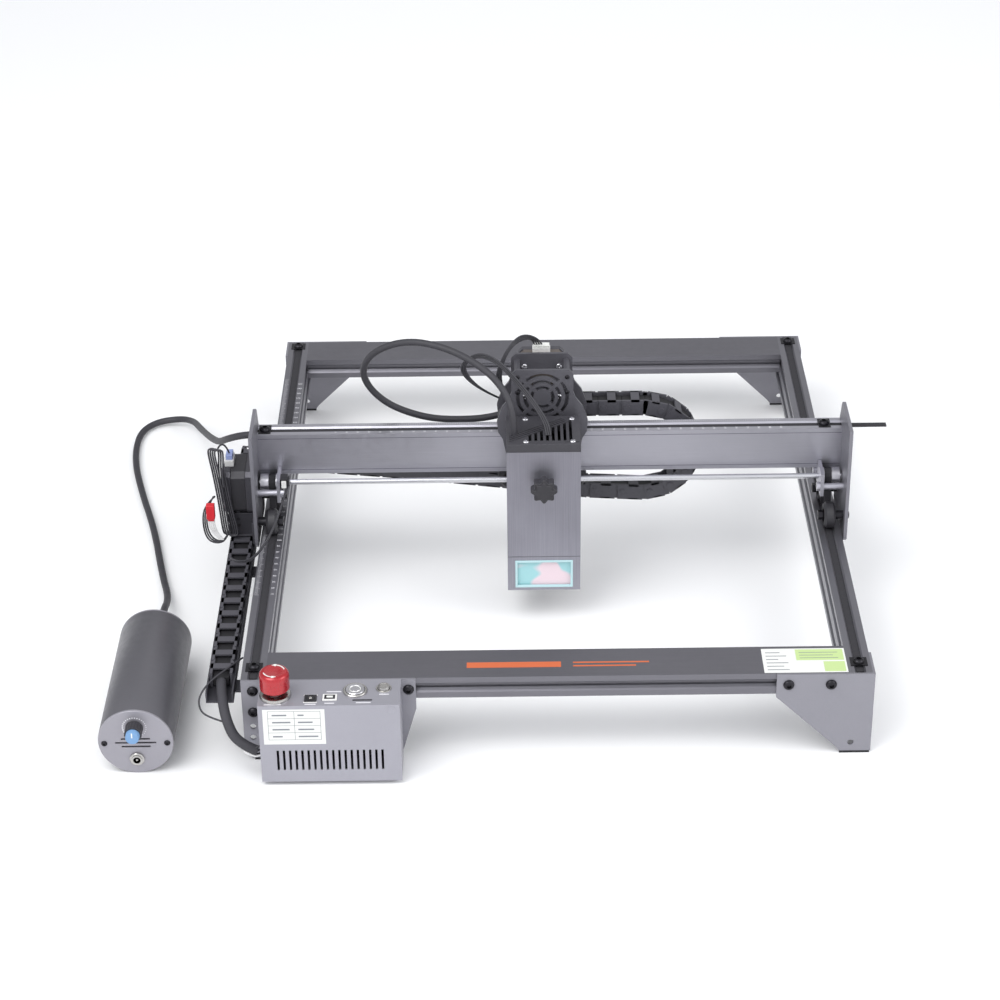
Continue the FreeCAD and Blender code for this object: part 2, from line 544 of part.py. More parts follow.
def square_motor(plane, a, b, length, offset, name):
    half, cut = "motor_side / 2", "motor_side / 2 - 4"
    ends = [("- 1", "1", cut, half), ("1", "1", cut, half), ("1", "- 1", cut, half), ("- 1", "- 1", cut, half)]
    outline = []
    for i, (sa, sb, short, full) in enumerate(ends):
        spots = [(short, full), (full, short)] if i in (1, 3) else [(full, short), (short, full)]
        outline += [(f"{a} + ({sa}) * ({p})", f"{b} + ({sb}) * ({q})") for p, q in spots]
    return sheet_plate(name, plane, outline, length, offset)


left_face = "- gantry_half - side_plate"
node("y_motor", plus("y_motor_set",
                     square_motor("side", "shaft_y", "shaft_z", "y_motor_length", f"{left_face} - y_motor_length", "y_can"),
                     ring("y_boss", "x", left_face, "shaft_y", "shaft_z", "11", "4", "2"),
                     block("y_socket", f"{left_face} - 24", "shaft_y - 8", "shaft_z + 21", "7", "16", "6")))
bracket = plus("bracket", block("bracket_tab", f"{left_face} - 2", "- 80", "72", "2", "20", "22"),
               block("bracket_lip", "- gantry_half - 27.5", "- 62", "72", "27.5 - side_plate", "2", "22"))
node("gantry_belts", group("gantry_belt_set",
     block("x_run", "- gantry_half", "gantry_y - belt_width / 2", "gantry_base + beam_tall - belt_drop - belt_thick",
           "2 * gantry_half + 40.5", "belt_width", "belt_thick"),
     *(sheet_plate(f"y_loop{i}", "side", ribbon(arch(-45, 13.3, 79.4, 116, 6.6), size("belt_thick")), "belt_width",
                   f"{s} * ( frame_width - beam_thin ) / 2 - belt_width / 2") for i, s in enumerate((-1, 1)))))
plate_out = "gantry_half + side_plate"
fixings = [bracket]
for side, s in (("l", -1), ("r", 1)):
    for end, y in (("f", axle_front), ("b", axle_back)):
        inner_end = "( frame_width - beam_thin ) / 2 - wheel_width / 2 - 5"
        span = f"{plate_out} - ({inner_end})"
        start = inner_end if s > 0 else f"- ({plate_out})"
        axle = rod(f"axle_{side}{end}", "x", start, y, axle_z, "axle_r", span)
        head_at = plate_out if s > 0 else f"- ({plate_out}) - 2.6"
        nut_at = f"({inner_end})" if s > 0 else f"- ({inner_end}) - 4.5"
        gap_at = "( frame_width - beam_thin ) / 2 + wheel_width / 2 + 0.3" if s > 0 else "- gantry_half"
        gap = "gantry_half - ( frame_width - beam_thin ) / 2 - wheel_width / 2 - 0.3"
        fixings.append(plus(f"axle_set_{side}{end}", axle, rod(f"head_{side}{end}", "x", head_at, y, axle_z, "4.4", "2.6"),
                            rod(f"nut_{side}{end}", "x", nut_at, y, axle_z, "4.4", "4.5"),
                            rod(f"gap_{side}{end}", "x", gap_at, y, axle_z, "4", gap)))
    for i, (y, z) in enumerate(((-25, 149), (-25, 129))[:1 if s < 0 else 2]):
        fixings.append(rod(f"beam_bolt_{side}{i}", "x", plate_out if s > 0 else f"- ({plate_out}) - bolt_head", y, z,
                           "bolt_r", "bolt_head"))
for i, x in enumerate(("- gantry_half + 6.5", "gantry_half - 15.5")):
    fixings.append(rod(f"x_clamp{i}", "z", x, "gantry_y", "gantry_base + beam_tall", "bolt_r", "bolt_head"))
node("gantry_fixings", group("gantry_fixing_set", *fixings))
node("limit_switch", plus("switch", block("switch_body", "- gantry_half + 20.5", "- 60", "118", "6.5", "11", "9"),
                          block("switch_arm", "- gantry_half + 27", "- 59", "120", "1.5", "9", "5")))
node("sync_shaft", rod("shaft", "x", "- gantry_half + 0.5", "shaft_y", "shaft_z", "shaft_r", "2 * gantry_half - 1"))


def toothed_pulley(name, axis, x, y, z, flip):
    half = "pulley_face / 2"
    spot = [x, y, z]
    index = "xyz".index(axis)

    def piece(part, start, radius, length):
        where = list(spot)
        first = f"({start})" if flip > 0 else f"- ({start}) - ({length})"
        where[index] = f"({spot[index]}) + ({first})"
        return rod(f"{name}_{part}", axis, *where, radius, length)
    solid = plus(name + "_solid", piece("teeth", f"- {half}", "pulley_r", "pulley_face"),
                 piece("inner", f"- {half} - 1", "pulley_flange_r", "1"), piece("outer", half, "pulley_flange_r", "1"),
                 piece("hub", f"{half} + 1", "pulley_flange_r", "pulley_hub"))
    bore = list(spot)
    bore[index] = f"({spot[index]}) - 20"
    return minus(name, solid, rod(name + "_bore", axis, *bore, "shaft_r", "40"))


node("y_pulleys", pair("y_pulley", lambda n, s: toothed_pulley(
    n, "x", f"{s} * ( frame_width - beam_thin ) / 2", "shaft_y", "shaft_z", s)))
for name, y in (("y_front_wheels", axle_front), ("y_rear_wheels", axle_back)):
    node(name, pair(name + "_pair", lambda n, s, y=y: vee_wheel(
        n, "x", f"{s} * ( frame_width - beam_thin ) / 2", y, axle_z)))

# Cable chain of the cross axis, behind the gantry.
# Its lower run ends on a bracket of the left side plate, clear of the carriage at its limit.
low = [(87.8, 74), (80, 74), (37, 77), (-43, 88.5), (-133, 99.5), (-195, 105.5), (-240, 110.5)]
node("x_chain_fixed", plus("x_fixed", sheet_plate("x_low", "front", ribbon(low, 15), "chain_width", "20"),
                           block("x_anchor", "- gantry_half", "- 14", "109", "23", "34", "2")))
node("x_chain_bend", half_ring("x_bend", "y", "x_bend_x", "0", "x_bend_z", "x_bend_r", "x_chain_high",
                                "chain_width"))
node("x_chain_moving", block("x_moving", "x_chain_end", "0", "x_bend_z + x_bend_r - x_chain_high / 2",
                             "x_bend_x - x_chain_end", "chain_width", "x_chain_high"))

# Carriage: two plates with the wheels between them.
wheel_high = "gantry_base + beam_tall + wheel_ride"
wheel_low = "gantry_base - wheel_ride"


def carriage_outline(base, half):
    right = [("neck_half - 4", "carriage_top"), ("neck_half", "carriage_top - 4"), ("neck_half", "203"),
             ("neck_half + 2", "197"), ("neck_half + 8", "189"), ("ear_half - 2", "181"), ("ear_half", "174"),
             ("ear_half - 1", "163"), ("ear_half - 5", "156")] + [(half, f"{base} + 6"), (f"{half} - 4", base)]
    left = [(f"head_x - ({a})", b) for a, b in right[::-1]]
    return [(f"head_x + {a}", b) for a, b in right] + left


head_holes = [("head_x - x_wheel_spread", wheel_high, "axle_r"), ("head_x + x_wheel_spread", wheel_high, "axle_r")]
face = sheet_plate("carriage_face", "front", carriage_outline("122", "30"), "plate_thick", "front_plate_y", head_holes)
grille = []
for i, (outer_r, inner_r) in enumerate((("grille_r", "grille_r - 3.2"), ("17", "14"), ("11", "8"))):
    grille.append(ring(f"grille{i}", "y", "head_x", "front_plate_y - 4", "drive_z + 1", outer_r, inner_r, "6"))
spokes = []
for i, turn in enumerate((45, -45)):
    bar = doc.addObject("Part::Box", f"spoke{i}")
    bind(bar, Length="60", Width="8", Height="3")
    place = Rotation(Vector(0, 1, 0), turn)
    bar.Placement = Placement(Vector(), place)
    shift = place.multVec(Vector(-30, 0, -1.5))
    spokes.append(at(bar, f"head_x + {shift.x:.4f}", "front_plate_y - 5", f"drive_z + 1 + {shift.z:.4f}"))
node("carriage_front_plate", minus("carriage_face_cut", face, minus("grille_arcs", plus("grille_rings", *grille),
                                                                    plus("spoke_pair", *spokes))))
low_holes = [("head_x - x_wheel_spread", wheel_low, "axle_r"), ("head_x + x_wheel_spread", wheel_low, "axle_r")]
node("carriage_rear_plate", sheet_plate("carriage_back", "front", carriage_outline("96", "ear_half"), "plate_thick",
                                        "rear_plate_y", head_holes + low_holes + [("head_x", "drive_z", "11.2")]))
motor_y = "rear_plate_y + x_motor_length"
node("x_motor", plus("x_motor_set", square_motor("front", "head_x", "drive_z", "x_motor_length", motor_y, "x_can"),
                     minus("x_boss_cut", rod("x_boss", "y", "head_x", "rear_plate_y - 2", "drive_z", "11", "2"),
                           rod("x_boss_bore", "y", "head_x", "rear_plate_y - 3", "drive_z", "4", "3")),
                     block("x_socket", "head_x - 8", "rear_plate_y + 12", "drive_z + 21", "16", "7", "5")))
shaft_start = "gantry_y - 8"
hub = toothed_pulley("x_gear", "y", "head_x", "gantry_y", "drive_z", 1)
node("x_pulley", plus("x_drive", hub, rod("x_shaft", "y", "head_x", shaft_start, "drive_z", "shaft_r",
                                          "rear_plate_y - gantry_y + 7.7")))
node("x_belt_loop", sheet_plate("x_loop", "front", ribbon(arch(-6.5, 17.2, 159.4, 197, 6.6), size("belt_thick")),
                                "belt_width", "gantry_y + belt_width / 2"))
between = "front_plate_y + 0"
bits = []
for i, s in enumerate(("-", "+")):
    x = f"head_x {s} x_wheel_spread"
    start = "front_plate_y - plate_thick"
    bits.append(plus(f"top_axle{i}", rod(f"ta{i}", "y", x, start, wheel_high, "axle_r", "rear_plate_y - front_plate_y + plate_thick"),
                     rod(f"th{i}", "y", x, f"{start} - 3", wheel_high, "4.4", "3"),
                     rod(f"tn{i}", "y", x, "rear_plate_y", wheel_high, "4.4", "4"),
                     rod(f"tf{i}", "y", x, "front_plate_y", wheel_high, "4", "gantry_y - wheel_width / 2 - 0.3 - front_plate_y"),
                     rod(f"tb{i}", "y", x, "gantry_y + wheel_width / 2 + 0.3", wheel_high, "4",
                         "rear_plate_y - plate_thick - gantry_y - wheel_width / 2 - 0.3")))
    bits.append(plus(f"low_axle{i}", rod(f"la{i}", "y", x, "gantry_y - wheel_width / 2 - 4", wheel_low, "axle_r",
                                         "rear_plate_y - gantry_y + wheel_width / 2 + 4"),
                     rod(f"lh{i}", "y", x, "gantry_y - wheel_width / 2 - 4.3", wheel_low, "4.4", "4"),
                     rod(f"ln{i}", "y", x, "rear_plate_y", wheel_low, "4.4", "4"),
                     rod(f"lb{i}", "y", x, "gantry_y + wheel_width / 2 + 0.3", wheel_low, "4",
                         "rear_plate_y - plate_thick - gantry_y - wheel_width / 2 - 0.3")))
    for level, z in (("u", "carriage_top - 7"), ("v", "203")):
        bits.append(plus(f"post_{level}{i}", rod(f"post{level}{i}", "y", f"head_x {s} 22", "front_plate_y", z, "3",
                                                 "rear_plate_y - plate_thick - front_plate_y"),
                         rod(f"cap{level}{i}", "y", f"head_x {s} 22", "front_plate_y - plate_thick - 2", z, "3", "2")))
bits.append(block("focus_rail", "head_x - 9", "head_front + head_depth + 0.3", "124", "18",
                  "front_plate_y - plate_thick - head_front - head_depth - 0.3", "46"))
node("carriage_fixings", group("carriage_fixing_set", *bits))
for i, (s, z) in enumerate((("-", wheel_high), ("+", wheel_high), ("-", wheel_low), ("+", wheel_low)), 1):
    node(f"x_wheel_{i}", vee_wheel(f"xw{i}", "y", f"head_x {s} x_wheel_spread", "gantry_y", z))

# Laser head: sheet housing with a vented cap, a clear-fronted shield and the module inside.
x0, wide = "head_x - head_half", "2 * head_half"
y0 = "head_front"


def sleeve(name, z, height, wall, floor_top="2"):
    return minus(name, block(name + "_o", x0, y0, z, wide, "head_depth", height),
                 block(name + "_i", f"{x0} + {wall}", f"{y0} + {wall}", f"({z}) - 1", f"{wide} - 2 * ({wall})",
                       f"head_depth - 2 * ({wall})", f"({height}) + {floor_top}"))


knob_bore = rod("knob_bore", "y", "head_x", f"{y0} - 1", "knob_z", "2.55", "5")
node("head_housing", minus("housing", sleeve("housing_shell", "head_base", "housing_top - head_base", "head_sheet"), knob_bore))
middle_y = f"{y0} + head_depth / 2"
cap = block("cap_block", x0, y0, "housing_top", wide, "head_depth", "cap_height")
vents = [block(f"cap_vent{i}", f"head_x - 19 + {i} * 4.75 - 1.1", f"{middle_y} - 18", "housing_top - 1", "2.2", "36",
               "cap_height + 2") for i in range(9)]
screws = [rod(f"cap_screw{i}", "z", f"head_x + {a} * 26", f"{middle_y} + {b} * 20.5", "housing_top + cap_height", "2.6",
              "1.5") for i, (a, b) in enumerate(((-1, -1), (1, -1), (-1, 1), (1, 1)))]
node("head_cap", minus("cap_cut", cap, *vents))
node("head_screws", group("cap_screws", *screws))
window_x = "head_x - window_half"
shield = minus("shield", sleeve("shield_shell", "head_base - shield_height", "shield_height", "2"),
               block("shield_window", window_x, f"{y0} - 1", "window_base", "2 * window_half", "4", "window_height"))
node("head_shield", shield)
node("head_window", block("pane", f"{window_x} - 3", f"{y0} + 2.1", "window_base - 2", "2 * window_half + 6", "2",
                          "window_height + 4"))
fan_z = "housing_top - 0.5 - fan_height"
fan_hole = rod("fan_hole", "z", "head_x", middle_y, f"{fan_z} - 1", "23", "fan_height + 2")
fan_box = block("fan_box", "head_x - fan_half", f"{middle_y} - 24.3", fan_z, "2 * fan_half", "48.6", "fan_height")
fan_case = minus("fan_case", fan_box, fan_hole)
rotor = [rod("fan_hub", "z", "head_x", middle_y, f"{fan_z} + 1", "9", "fan_height - 2")]
for i in range(7):
    blade = doc.addObject("Part::Box", f"blade{i}")
    bind(blade, Length="13.5", Width="1.2", Height="fan_height - 3")
    blade.Placement = Placement(Vector(), Rotation(Vector(0, 0, 1), i * 360 / 7))
    lead = Rotation(Vector(0, 0, 1), i * 360 / 7).multVec(Vector(8.6, 0, 0))
    rotor.append(at(blade, f"head_x + {lead.x:.4f}", f"{middle_y} + {lead.y:.4f}", f"{fan_z} + 1.5"))
node("fan_rotor", plus("fan_blades", *rotor))
sink = [block("sink_core", "head_x - 16.5", f"{middle_y} - 4", "75", "33", "8", "84")]
for i in range(7):
    sink.append(block(f"fin{i}", f"head_x - 16.5 + {i} * 5.2", f"{middle_y} - 16.5", "75", "1.8", "33", "84"))
module = plus("heat_sink", *sink, block("sink_base", "head_x - 16.5", f"{middle_y} - 16.5", "70", "33", "33", "8"),
              rod("lens_barrel", "z", "head_x", middle_y, "52", "8", "19"))
arms = [block(f"sink_arm{i}", x, f"{middle_y} - 6", "84", w, "12", "6") for i, (x, w) in enumerate(
    ((f"{x0} + head_sheet", "head_half - head_sheet - 16.5"), ("head_x + 16.5", "head_half - head_sheet - 16.5")))]
node("laser_module", group("module_set", plus("module_solid", module, *arms), fan_case))
lobes = [rod("knob_core", "y", "head_x", f"{y0} - 18", "knob_z", "knob_r - 3", "12"),
         rod("knob_stem", "y", "head_x", f"{y0} - 18", "knob_z", "2.5", "21"),
         rod("knob_neck", "y", "head_x", f"{y0} - 6.5", "knob_z", "6", "6")]
for i in range(8):
    turn = math.radians(i * 45)
    lobes.append(rod(f"lobe{i}", "y", f"head_x + (knob_r - 3) * {math.cos(turn):.4f}", f"{y0} - 18",
                     f"knob_z + (knob_r - 3) * {math.sin(turn):.4f}", "3", "12"))
node("clamp_knob", plus("star_knob", *lobes))

# Hoses and cables.
hose = [(-347.8, -162, 31.2), (-347.8, -120, 27), (-349, -70, 9), (-360, -25, 5), (-377, 60, 5), (-397, 130, 5),
        (-412, 195, 5), (-414, 250, 5), (-400, 275, 5), (-373, 277, 8), (-357, 254, 17), (-345, 205, 36), (-330, 140, 64),
        (-317, 85, 89), (-306, 42, 110), (-296, 15, 128), (-280, 0, 140), (-262, -4, 143), (-247, -8, 144)]
node("pump_hose", tube("pump_hose_tube", hose, size("hose_r")))
upper = [(-20.8, 10, 162), (-46, 7, 152), (-85, 6, 150), (-116, 5, 154), (-150, 0, 172), (-169, -8, 203), (-160, -17, 231),
         (-127, -29, 250), (-90, -45, 250), (-56, -60, 236), (-38, -72, 218), (-32.3, -83.3, 201), (-32, -84, 184.1)]
node("head_hose", tube("head_hose_tube", upper, 2.6))
sleeve_path = [(-278.5, -286, 64), (-278.5, -305, 62), (-276, -324, 48), (-266, -335, 31), (-246, -334, 23)]
node("cable_sleeve", tube("cable_sleeve_tube", sleeve_path, 3.5))
# The long motor's lead lies in a hank in front of the motor: one closed, slightly tilted oval.
hank_outer = [(f"- gantry_half - {a}", z) for a, z in (("41.5", "160"), ("38.5", "168"), ("32.5", "168"), ("29", "161"),
                                                       ("21", "80"), ("23.5", "74"), ("28.5", "73"), ("32.5", "79"))]
hank_inner = [(f"- gantry_half - {a}", z) for a, z in (("38.5", "160"), ("36.5", "164.5"), ("34", "164.5"), ("32", "160"),
                                                       ("24.5", "81"), ("25.5", "78"), ("28", "77.5"), ("29.5", "80"))]
node("motor_cable", minus("motor_hank", sheet_plate("hank_round", "front", hank_outer, "5", "-67"),
                          sheet_plate("hank_eye", "front", hank_inner, "9", "-65")))

doc.recompute()
faults = []
for thing in doc.Objects:
    if "Invalid" in thing.State or "Error" in thing.State:
        faults.append(f"{thing.Name}: {thing.State}")
for thing in NODES:
    shape = getattr(thing, "Shape", None)
    if shape is None or shape.isNull() or not shape.isValid() or not shape.Solids:
        faults.append(f"{thing.Label}: bad shape")
if faults:
    print("\n".join(faults))
    sys.exit(1)
os.makedirs("parts", exist_ok=True)
for thing in NODES:
    thing.Shape.exportStep(f"parts/{thing.Label}.step")
whole = FreeCAD.BoundBox()
for thing in NODES:
    if thing.Label not in ("pump_hose", "head_hose", "cable_sleeve", "motor_cable"):
        whole.add(thing.Shape.BoundBox)
print(len(NODES), "nodes", whole)
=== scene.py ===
"""Desktop laser cutter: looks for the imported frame. Metres, same frame as the CAD."""
import math

import bmesh
import bpy
from mathutils import Matrix, Vector


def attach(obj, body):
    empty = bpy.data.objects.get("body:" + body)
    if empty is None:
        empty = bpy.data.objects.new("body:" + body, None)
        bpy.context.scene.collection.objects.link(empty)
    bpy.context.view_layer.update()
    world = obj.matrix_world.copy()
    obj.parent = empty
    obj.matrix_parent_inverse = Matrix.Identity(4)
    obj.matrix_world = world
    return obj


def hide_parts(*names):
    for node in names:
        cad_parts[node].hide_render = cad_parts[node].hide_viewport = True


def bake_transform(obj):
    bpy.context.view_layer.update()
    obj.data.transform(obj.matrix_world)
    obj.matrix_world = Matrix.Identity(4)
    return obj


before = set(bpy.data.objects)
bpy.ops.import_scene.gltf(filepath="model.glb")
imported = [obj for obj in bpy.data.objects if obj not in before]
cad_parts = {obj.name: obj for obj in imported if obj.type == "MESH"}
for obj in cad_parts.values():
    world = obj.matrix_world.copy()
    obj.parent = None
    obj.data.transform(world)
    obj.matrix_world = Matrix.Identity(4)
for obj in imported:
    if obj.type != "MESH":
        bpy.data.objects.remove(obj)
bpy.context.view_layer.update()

# ---------------------------------------------------------------------------
# Camera. It looks down on the machine from the front, a little left of its middle. Places in this
# file are millimetres from the middle of the machine's frame, at table height. MIDDLE is where that
# point lies in the row frame.
MIDDLE = Vector((0.038, 0.0171, 0.0))
camera_place = (-40.4, -2067.1, 1278.3)
camera_dip = 0.5296
camera_heading = 0.0024
camera_roll = -0.0132


def place(x, y, z):
    return Vector((x, y, z)) * 0.001 + MIDDLE


camera = bpy.data.objects.new("camera", bpy.data.cameras.new("camera"))
bpy.context.scene.collection.objects.link(camera)
bpy.context.scene.camera = camera
camera.data.lens = 93.13
camera.data.sensor_width = 36
camera.data.clip_end = 20
aim = Matrix.Rotation(camera_heading, 4, "Z") @ Matrix.Rotation(math.pi / 2 - camera_dip, 4, "X")
aim = aim @ Matrix.Rotation(camera_roll, 4, "Z")
camera.matrix_world = Matrix.Translation(place(*camera_place)) @ aim


# ---------------------------------------------------------------------------
# Frame. Two rails and two cross beams of drawn aluminium, anodised grey. The grain runs along each
# beam, so light on it is drawn out into a soft streak. Feet of folded sheet are screwed on below.
def linear(code):
    """An sRGB hex colour as linear RGBA."""
    parts = [int(code[i:i + 2], 16) / 255 for i in (1, 3, 5)]
    return [c / 12.92 if c <= 0.04045 else ((c + 0.055) / 1.055) ** 2.4 for c in parts] + [1.0]


def add(tree, kind, **sockets):
    """Adds a shader node. A value is a number, a colour or another node's output."""
    node = tree.nodes.new("ShaderNode" + kind)
    for name, value in sockets.items():
        name = name.replace("_", " ")
        if name in node.inputs:
            if isinstance(value, bpy.types.NodeSocket):
                tree.links.new(value, node.inputs[name])
            else:
                node.inputs[name].default_value = value
        else:
            setattr(node, name.replace(" ", "_"), value)
    return node


def finish(name, code, rough=0.5, metal=0.0, stretch=(1, 1, 1), grain=900, relief=0.08, drift=0.12,
           coat=0.0, wear=0.06):
    """A surface: its colour drifts a little, and handling makes its roughness vary.

    grain is the number of noise cells in a metre, so 1000 is a millimetre's grit. stretch draws the
    grain out along one axis, as rolling, drawing or brushing does. relief is the depth of the grain.
    """
    made = bpy.data.materials.new(name)
    made.use_nodes = True
    tree = made.node_tree
    shader = tree.nodes["Principled BSDF"]
    where = add(tree, "TexCoord").outputs["Object"]
    stretched = add(tree, "Mapping", Vector=where, Scale=stretch).outputs["Vector"]
    fine = add(tree, "TexNoise", Vector=stretched, Scale=grain, Detail=4.0).outputs["Fac"]
    broad = add(tree, "TexNoise", Vector=where, Scale=14.0, Detail=5.0).outputs["Fac"]
    dust = add(tree, "TexNoise", Vector=where, Scale=160.0, Detail=3.0).outputs["Fac"]
    colour = linear(code)
    dark = [c * (1 - drift) for c in colour[:3]] + [1]
    light = [min(1, c * (1 + drift)) for c in colour[:3]] + [1]
    mixed = add(tree, "MixRGB", Fac=broad, Color1=dark, Color2=light).outputs["Color"]
    streak = add(tree, "MapRange", Value=fine, To_Min=1 - drift, To_Max=1 + drift).outputs["Result"]
    tint = add(tree, "MixRGB", blend_type="MULTIPLY", Fac=1.0, Color1=mixed, Color2=streak)
    tree.links.new(tint.outputs["Color"], shader.inputs["Base Color"])
    smoothest, roughest = max(0.03, rough - wear * 0.5), min(1, rough + wear)
    spread = add(tree, "MapRange", Value=dust, From_Min=0.3, From_Max=0.7, To_Min=smoothest,
                 To_Max=roughest).outputs["Result"]
    tree.links.new(spread, shader.inputs["Roughness"])
    shader.inputs["Metallic"].default_value = metal
    shader.inputs["Coat Weight"].default_value = coat
    bump = add(tree, "Bump", Height=fine, Strength=relief, Distance=0.0004)
    tree.links.new(bump.outputs["Normal"], shader.inputs["Normal"])
    return made


def break_edges(shown, width, sharpest):
    """Rounds every edge sharper than an angle in degrees. width is in millimetres."""
    edge = shown.modifiers.new("edge", "BEVEL")
    edge.width = width * 0.001
    edge.segments = 2
    edge.limit_method = "ANGLE"
    edge.angle_limit = math.radians(sharpest)
    edge.harden_normals = True


def dress(node, look, bevel=0.0):
    """Gives a CAD node its finish, and breaks its sharp edges."""
    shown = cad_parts[node]
    for held in shown.material_slots:
        held.link = "OBJECT"
        held.material = look
    if bevel:
        break_edges(shown, bevel, 50)


rail_x = 250.0    # middle of each rail
deck_z = 79.0     # top of the rails and beams
end_y = 308.0     # outer faces of the feet
# A drawing die and a brush leave scores about a hundred times as long as they are wide.
along_x, along_y, along_z = (0.6, 60, 60), (60, 0.6, 60), (60, 60, 0.5)
rail_finish = finish("rail_anodised", "#7e7d83", 0.34, 0.82, along_y, 40, 0.1, 0.09)
cross_finish = finish("cross_anodised", "#737278", 0.34, 0.82, along_x, 40, 0.1, 0.09)
dress("left_rail", rail_finish, 0.3)
dress("right_rail", rail_finish, 0.3)
dress("cross_beams", cross_finish, 0.4)
# Powder paint on steel sheet: half metallic pigment, with fine orange peel.
sheet_paint = finish("sheet_paint", "#8b8a91", 0.42, 0.55, grain=1500, relief=0.16, drift=0.05)
dress("corner_feet", sheet_paint, 0.4)
dress("box_foot", sheet_paint, 0.4)
# Rubber: dull and slightly uneven.
dress("foot_pads", finish("pad_rubber", "#222225", 0.8, grain=500, relief=0.2))
belt_rubber = finish("belt_rubber", "#2b2a2e", 0.7, grain=1400, relief=0.3)
dress("y_belts", belt_rubber)


# Frame screws: button heads with a socket, in blackened steel. Each has a dome and a dished recess.
def brick(x0, y0, z0, x1, y1, z1):
    """A box between two corners, as corners and faces in millimetres."""
    corners = [(x, y, z) for x in (x0, x1) for y in (y0, y1) for z in (z0, z1)]
    return corners, [(0, 1, 3, 2), (4, 6, 7, 5), (0, 4, 5, 1), (2, 3, 7, 6), (0, 2, 6, 4), (1, 5, 7, 3)]


def turn(profile, axis, centre, steps=40):
    """Revolves (radius, height) pairs about an axis through centre. Both ends are closed."""
    corners, faces = [], []
    for radius, height in profile:
        for i in range(steps):
            a = 2 * math.pi * i / steps
            u, v = radius * math.cos(a), radius * math.sin(a)
            spot = {"x": (height, u, v), "y": (v, height, u), "z": (u, v, height)}[axis]
            corners.append(tuple(c + s for c, s in zip(centre, spot)))
    for ring in range(len(profile) - 1):
        below, above = ring * steps, (ring + 1) * steps
        for i in range(steps):
            j = (i + 1) % steps
            faces.append((below + i, below + j, above + j, above + i))
    faces.append(tuple(range(steps))[::-1])
    faces.append(tuple((len(profile) - 1) * steps + i for i in range(steps)))
    return corners, faces


def prism(outline, axis, low, high):
    """Pushes a flat outline along an axis: (y, z) for x, (x, z) for y and (x, y) for z."""
    count, corners = len(outline), []
    for level in (low, high):
        for a, b in outline:
            corners.append({"x": (level, a, b), "y": (a, level, b), "z": (a, b, level)}[axis])
    faces = [(i, (i + 1) % count, count + (i + 1) % count, count + i) for i in range(count)]
    return corners, faces + [tuple(range(count))[::-1], tuple(range(count, 2 * count))]


def piece(name, shapes, look, body, bevel=0.3, smooth=True, stands_for=(), ride=True):
    """One piece made of several shapes. It rides on a body, unless ride is false."""
    mesh = bpy.data.meshes.new(name)
    corners, faces = [], []
    for shape_corners, shape_faces in shapes:
        faces += [tuple(i + len(corners) for i in face) for face in shape_faces]
        corners += [place(*corner) for corner in shape_corners]
    mesh.from_pydata(corners, [], faces)
    made = bpy.data.objects.new(name, mesh)
    bpy.context.scene.collection.objects.link(made)
    work = bmesh.new()
    work.from_mesh(mesh)
    bmesh.ops.recalc_face_normals(work, faces=work.faces)
    work.to_mesh(mesh)
    work.free()
    mesh.materials.append(look)
    if smooth:
        mesh.polygons.foreach_set("use_smooth", [True] * len(mesh.polygons))
        mesh.set_sharp_from_angle(angle=math.radians(35))
    if bevel:
        break_edges(made, bevel, 35)
    if ride:
        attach(made, body)
    if stands_for:
        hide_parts(*stands_for)
    return made


# Oxide black on steel is a dark, half metallic gloss. Bright zinc is nearly a mirror.
screw_black = finish("screw_black", "#2c2b2f", 0.3, 0.75, grain=800, relief=0.08)
screw_bright = finish("screw_bright", "#c3c2c6", 0.25, 1.0, grain=800, relief=0.05)


def button_screw(x, y, z, axis, way, radius=4.6, height=2.8):
    """A domed head whose foot lies at x, y, z. It stands out along axis, towards way."""
    dome = [(1, 0), (1, 0.25), (0.9, 0.62), (0.7, 0.88), (0.5, 1), (0.44, 1), (0.4, 0.35)]
    profile = [(radius * r, way * height * h) for r, h in dome] + [(0.01, way * height * 0.3)]
    return turn(profile, axis, (x, y, z), 24)


foot_screw_z = 69
heads = []
for x, drop in ((191, 0), (226, 0), (-251, 21), (-250.5, 0), (-122, 0)):
    heads.append(button_screw(x, -end_y, foot_screw_z - drop, "y", -1))
for x in (191, 226, -226, -191):
    heads.append(button_screw(x, end_y, foot_screw_z, "y", 1))
clamp_top = deck_z + 0.6
for x, y in ((-rail_x, -288), (rail_x, -290), (-rail_x, 297), (rail_x, 296)):
    heads.append(button_screw(x, y, clamp_top, "z", 1))
    heads.append(brick(x - 7, y - 6, deck_z, x + 7, y + 6, clamp_top))
piece("frame_screws", heads, screw_black, "frame", 0, stands_for=("frame_bolts",))

# Rulers on the left rail, etched white through the anodising: a fine scale outside the belt, with a
# longer line every 10 mm, and the numbers inside it.
etched = finish("etched_white", "#d5d4d8", 0.6, drift=0.03, relief=0.02)
travel = 400
scale_pitch = 2
line_thick = 0.04
rail_scale_x, rail_scale_y = -258.6, -176
marks = []
for i in range(travel // scale_pitch + 1):
    y = rail_scale_y + scale_pitch * i
    long = 4.0 if i % 5 == 0 else 2.6
    marks.append(brick(rail_scale_x, y, deck_z, rail_scale_x + long, y + 0.25, deck_z + line_thick))
piece("rail_scale", marks, etched, "frame", 0, False)


def numbers(name, lines, corner, spin, body, height, pitch=10.0):
    """A column of etched numbers, one line for each, pitch millimetres apart."""
    letter_box = height * 1.3
    words = bpy.data.curves.new(name, "FONT")
    words.body = "\n".join(lines)
    words.size = letter_box * 0.001
    words.space_line = pitch / letter_box
    words.extrude = 0.00002
    words.align_x = "CENTER"
    words.materials.append(etched)
    made = bpy.data.objects.new(name, words)
    bpy.context.scene.collection.objects.link(made)
    made.location = place(*corner)
    made.rotation_euler = spin
    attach(made, body)


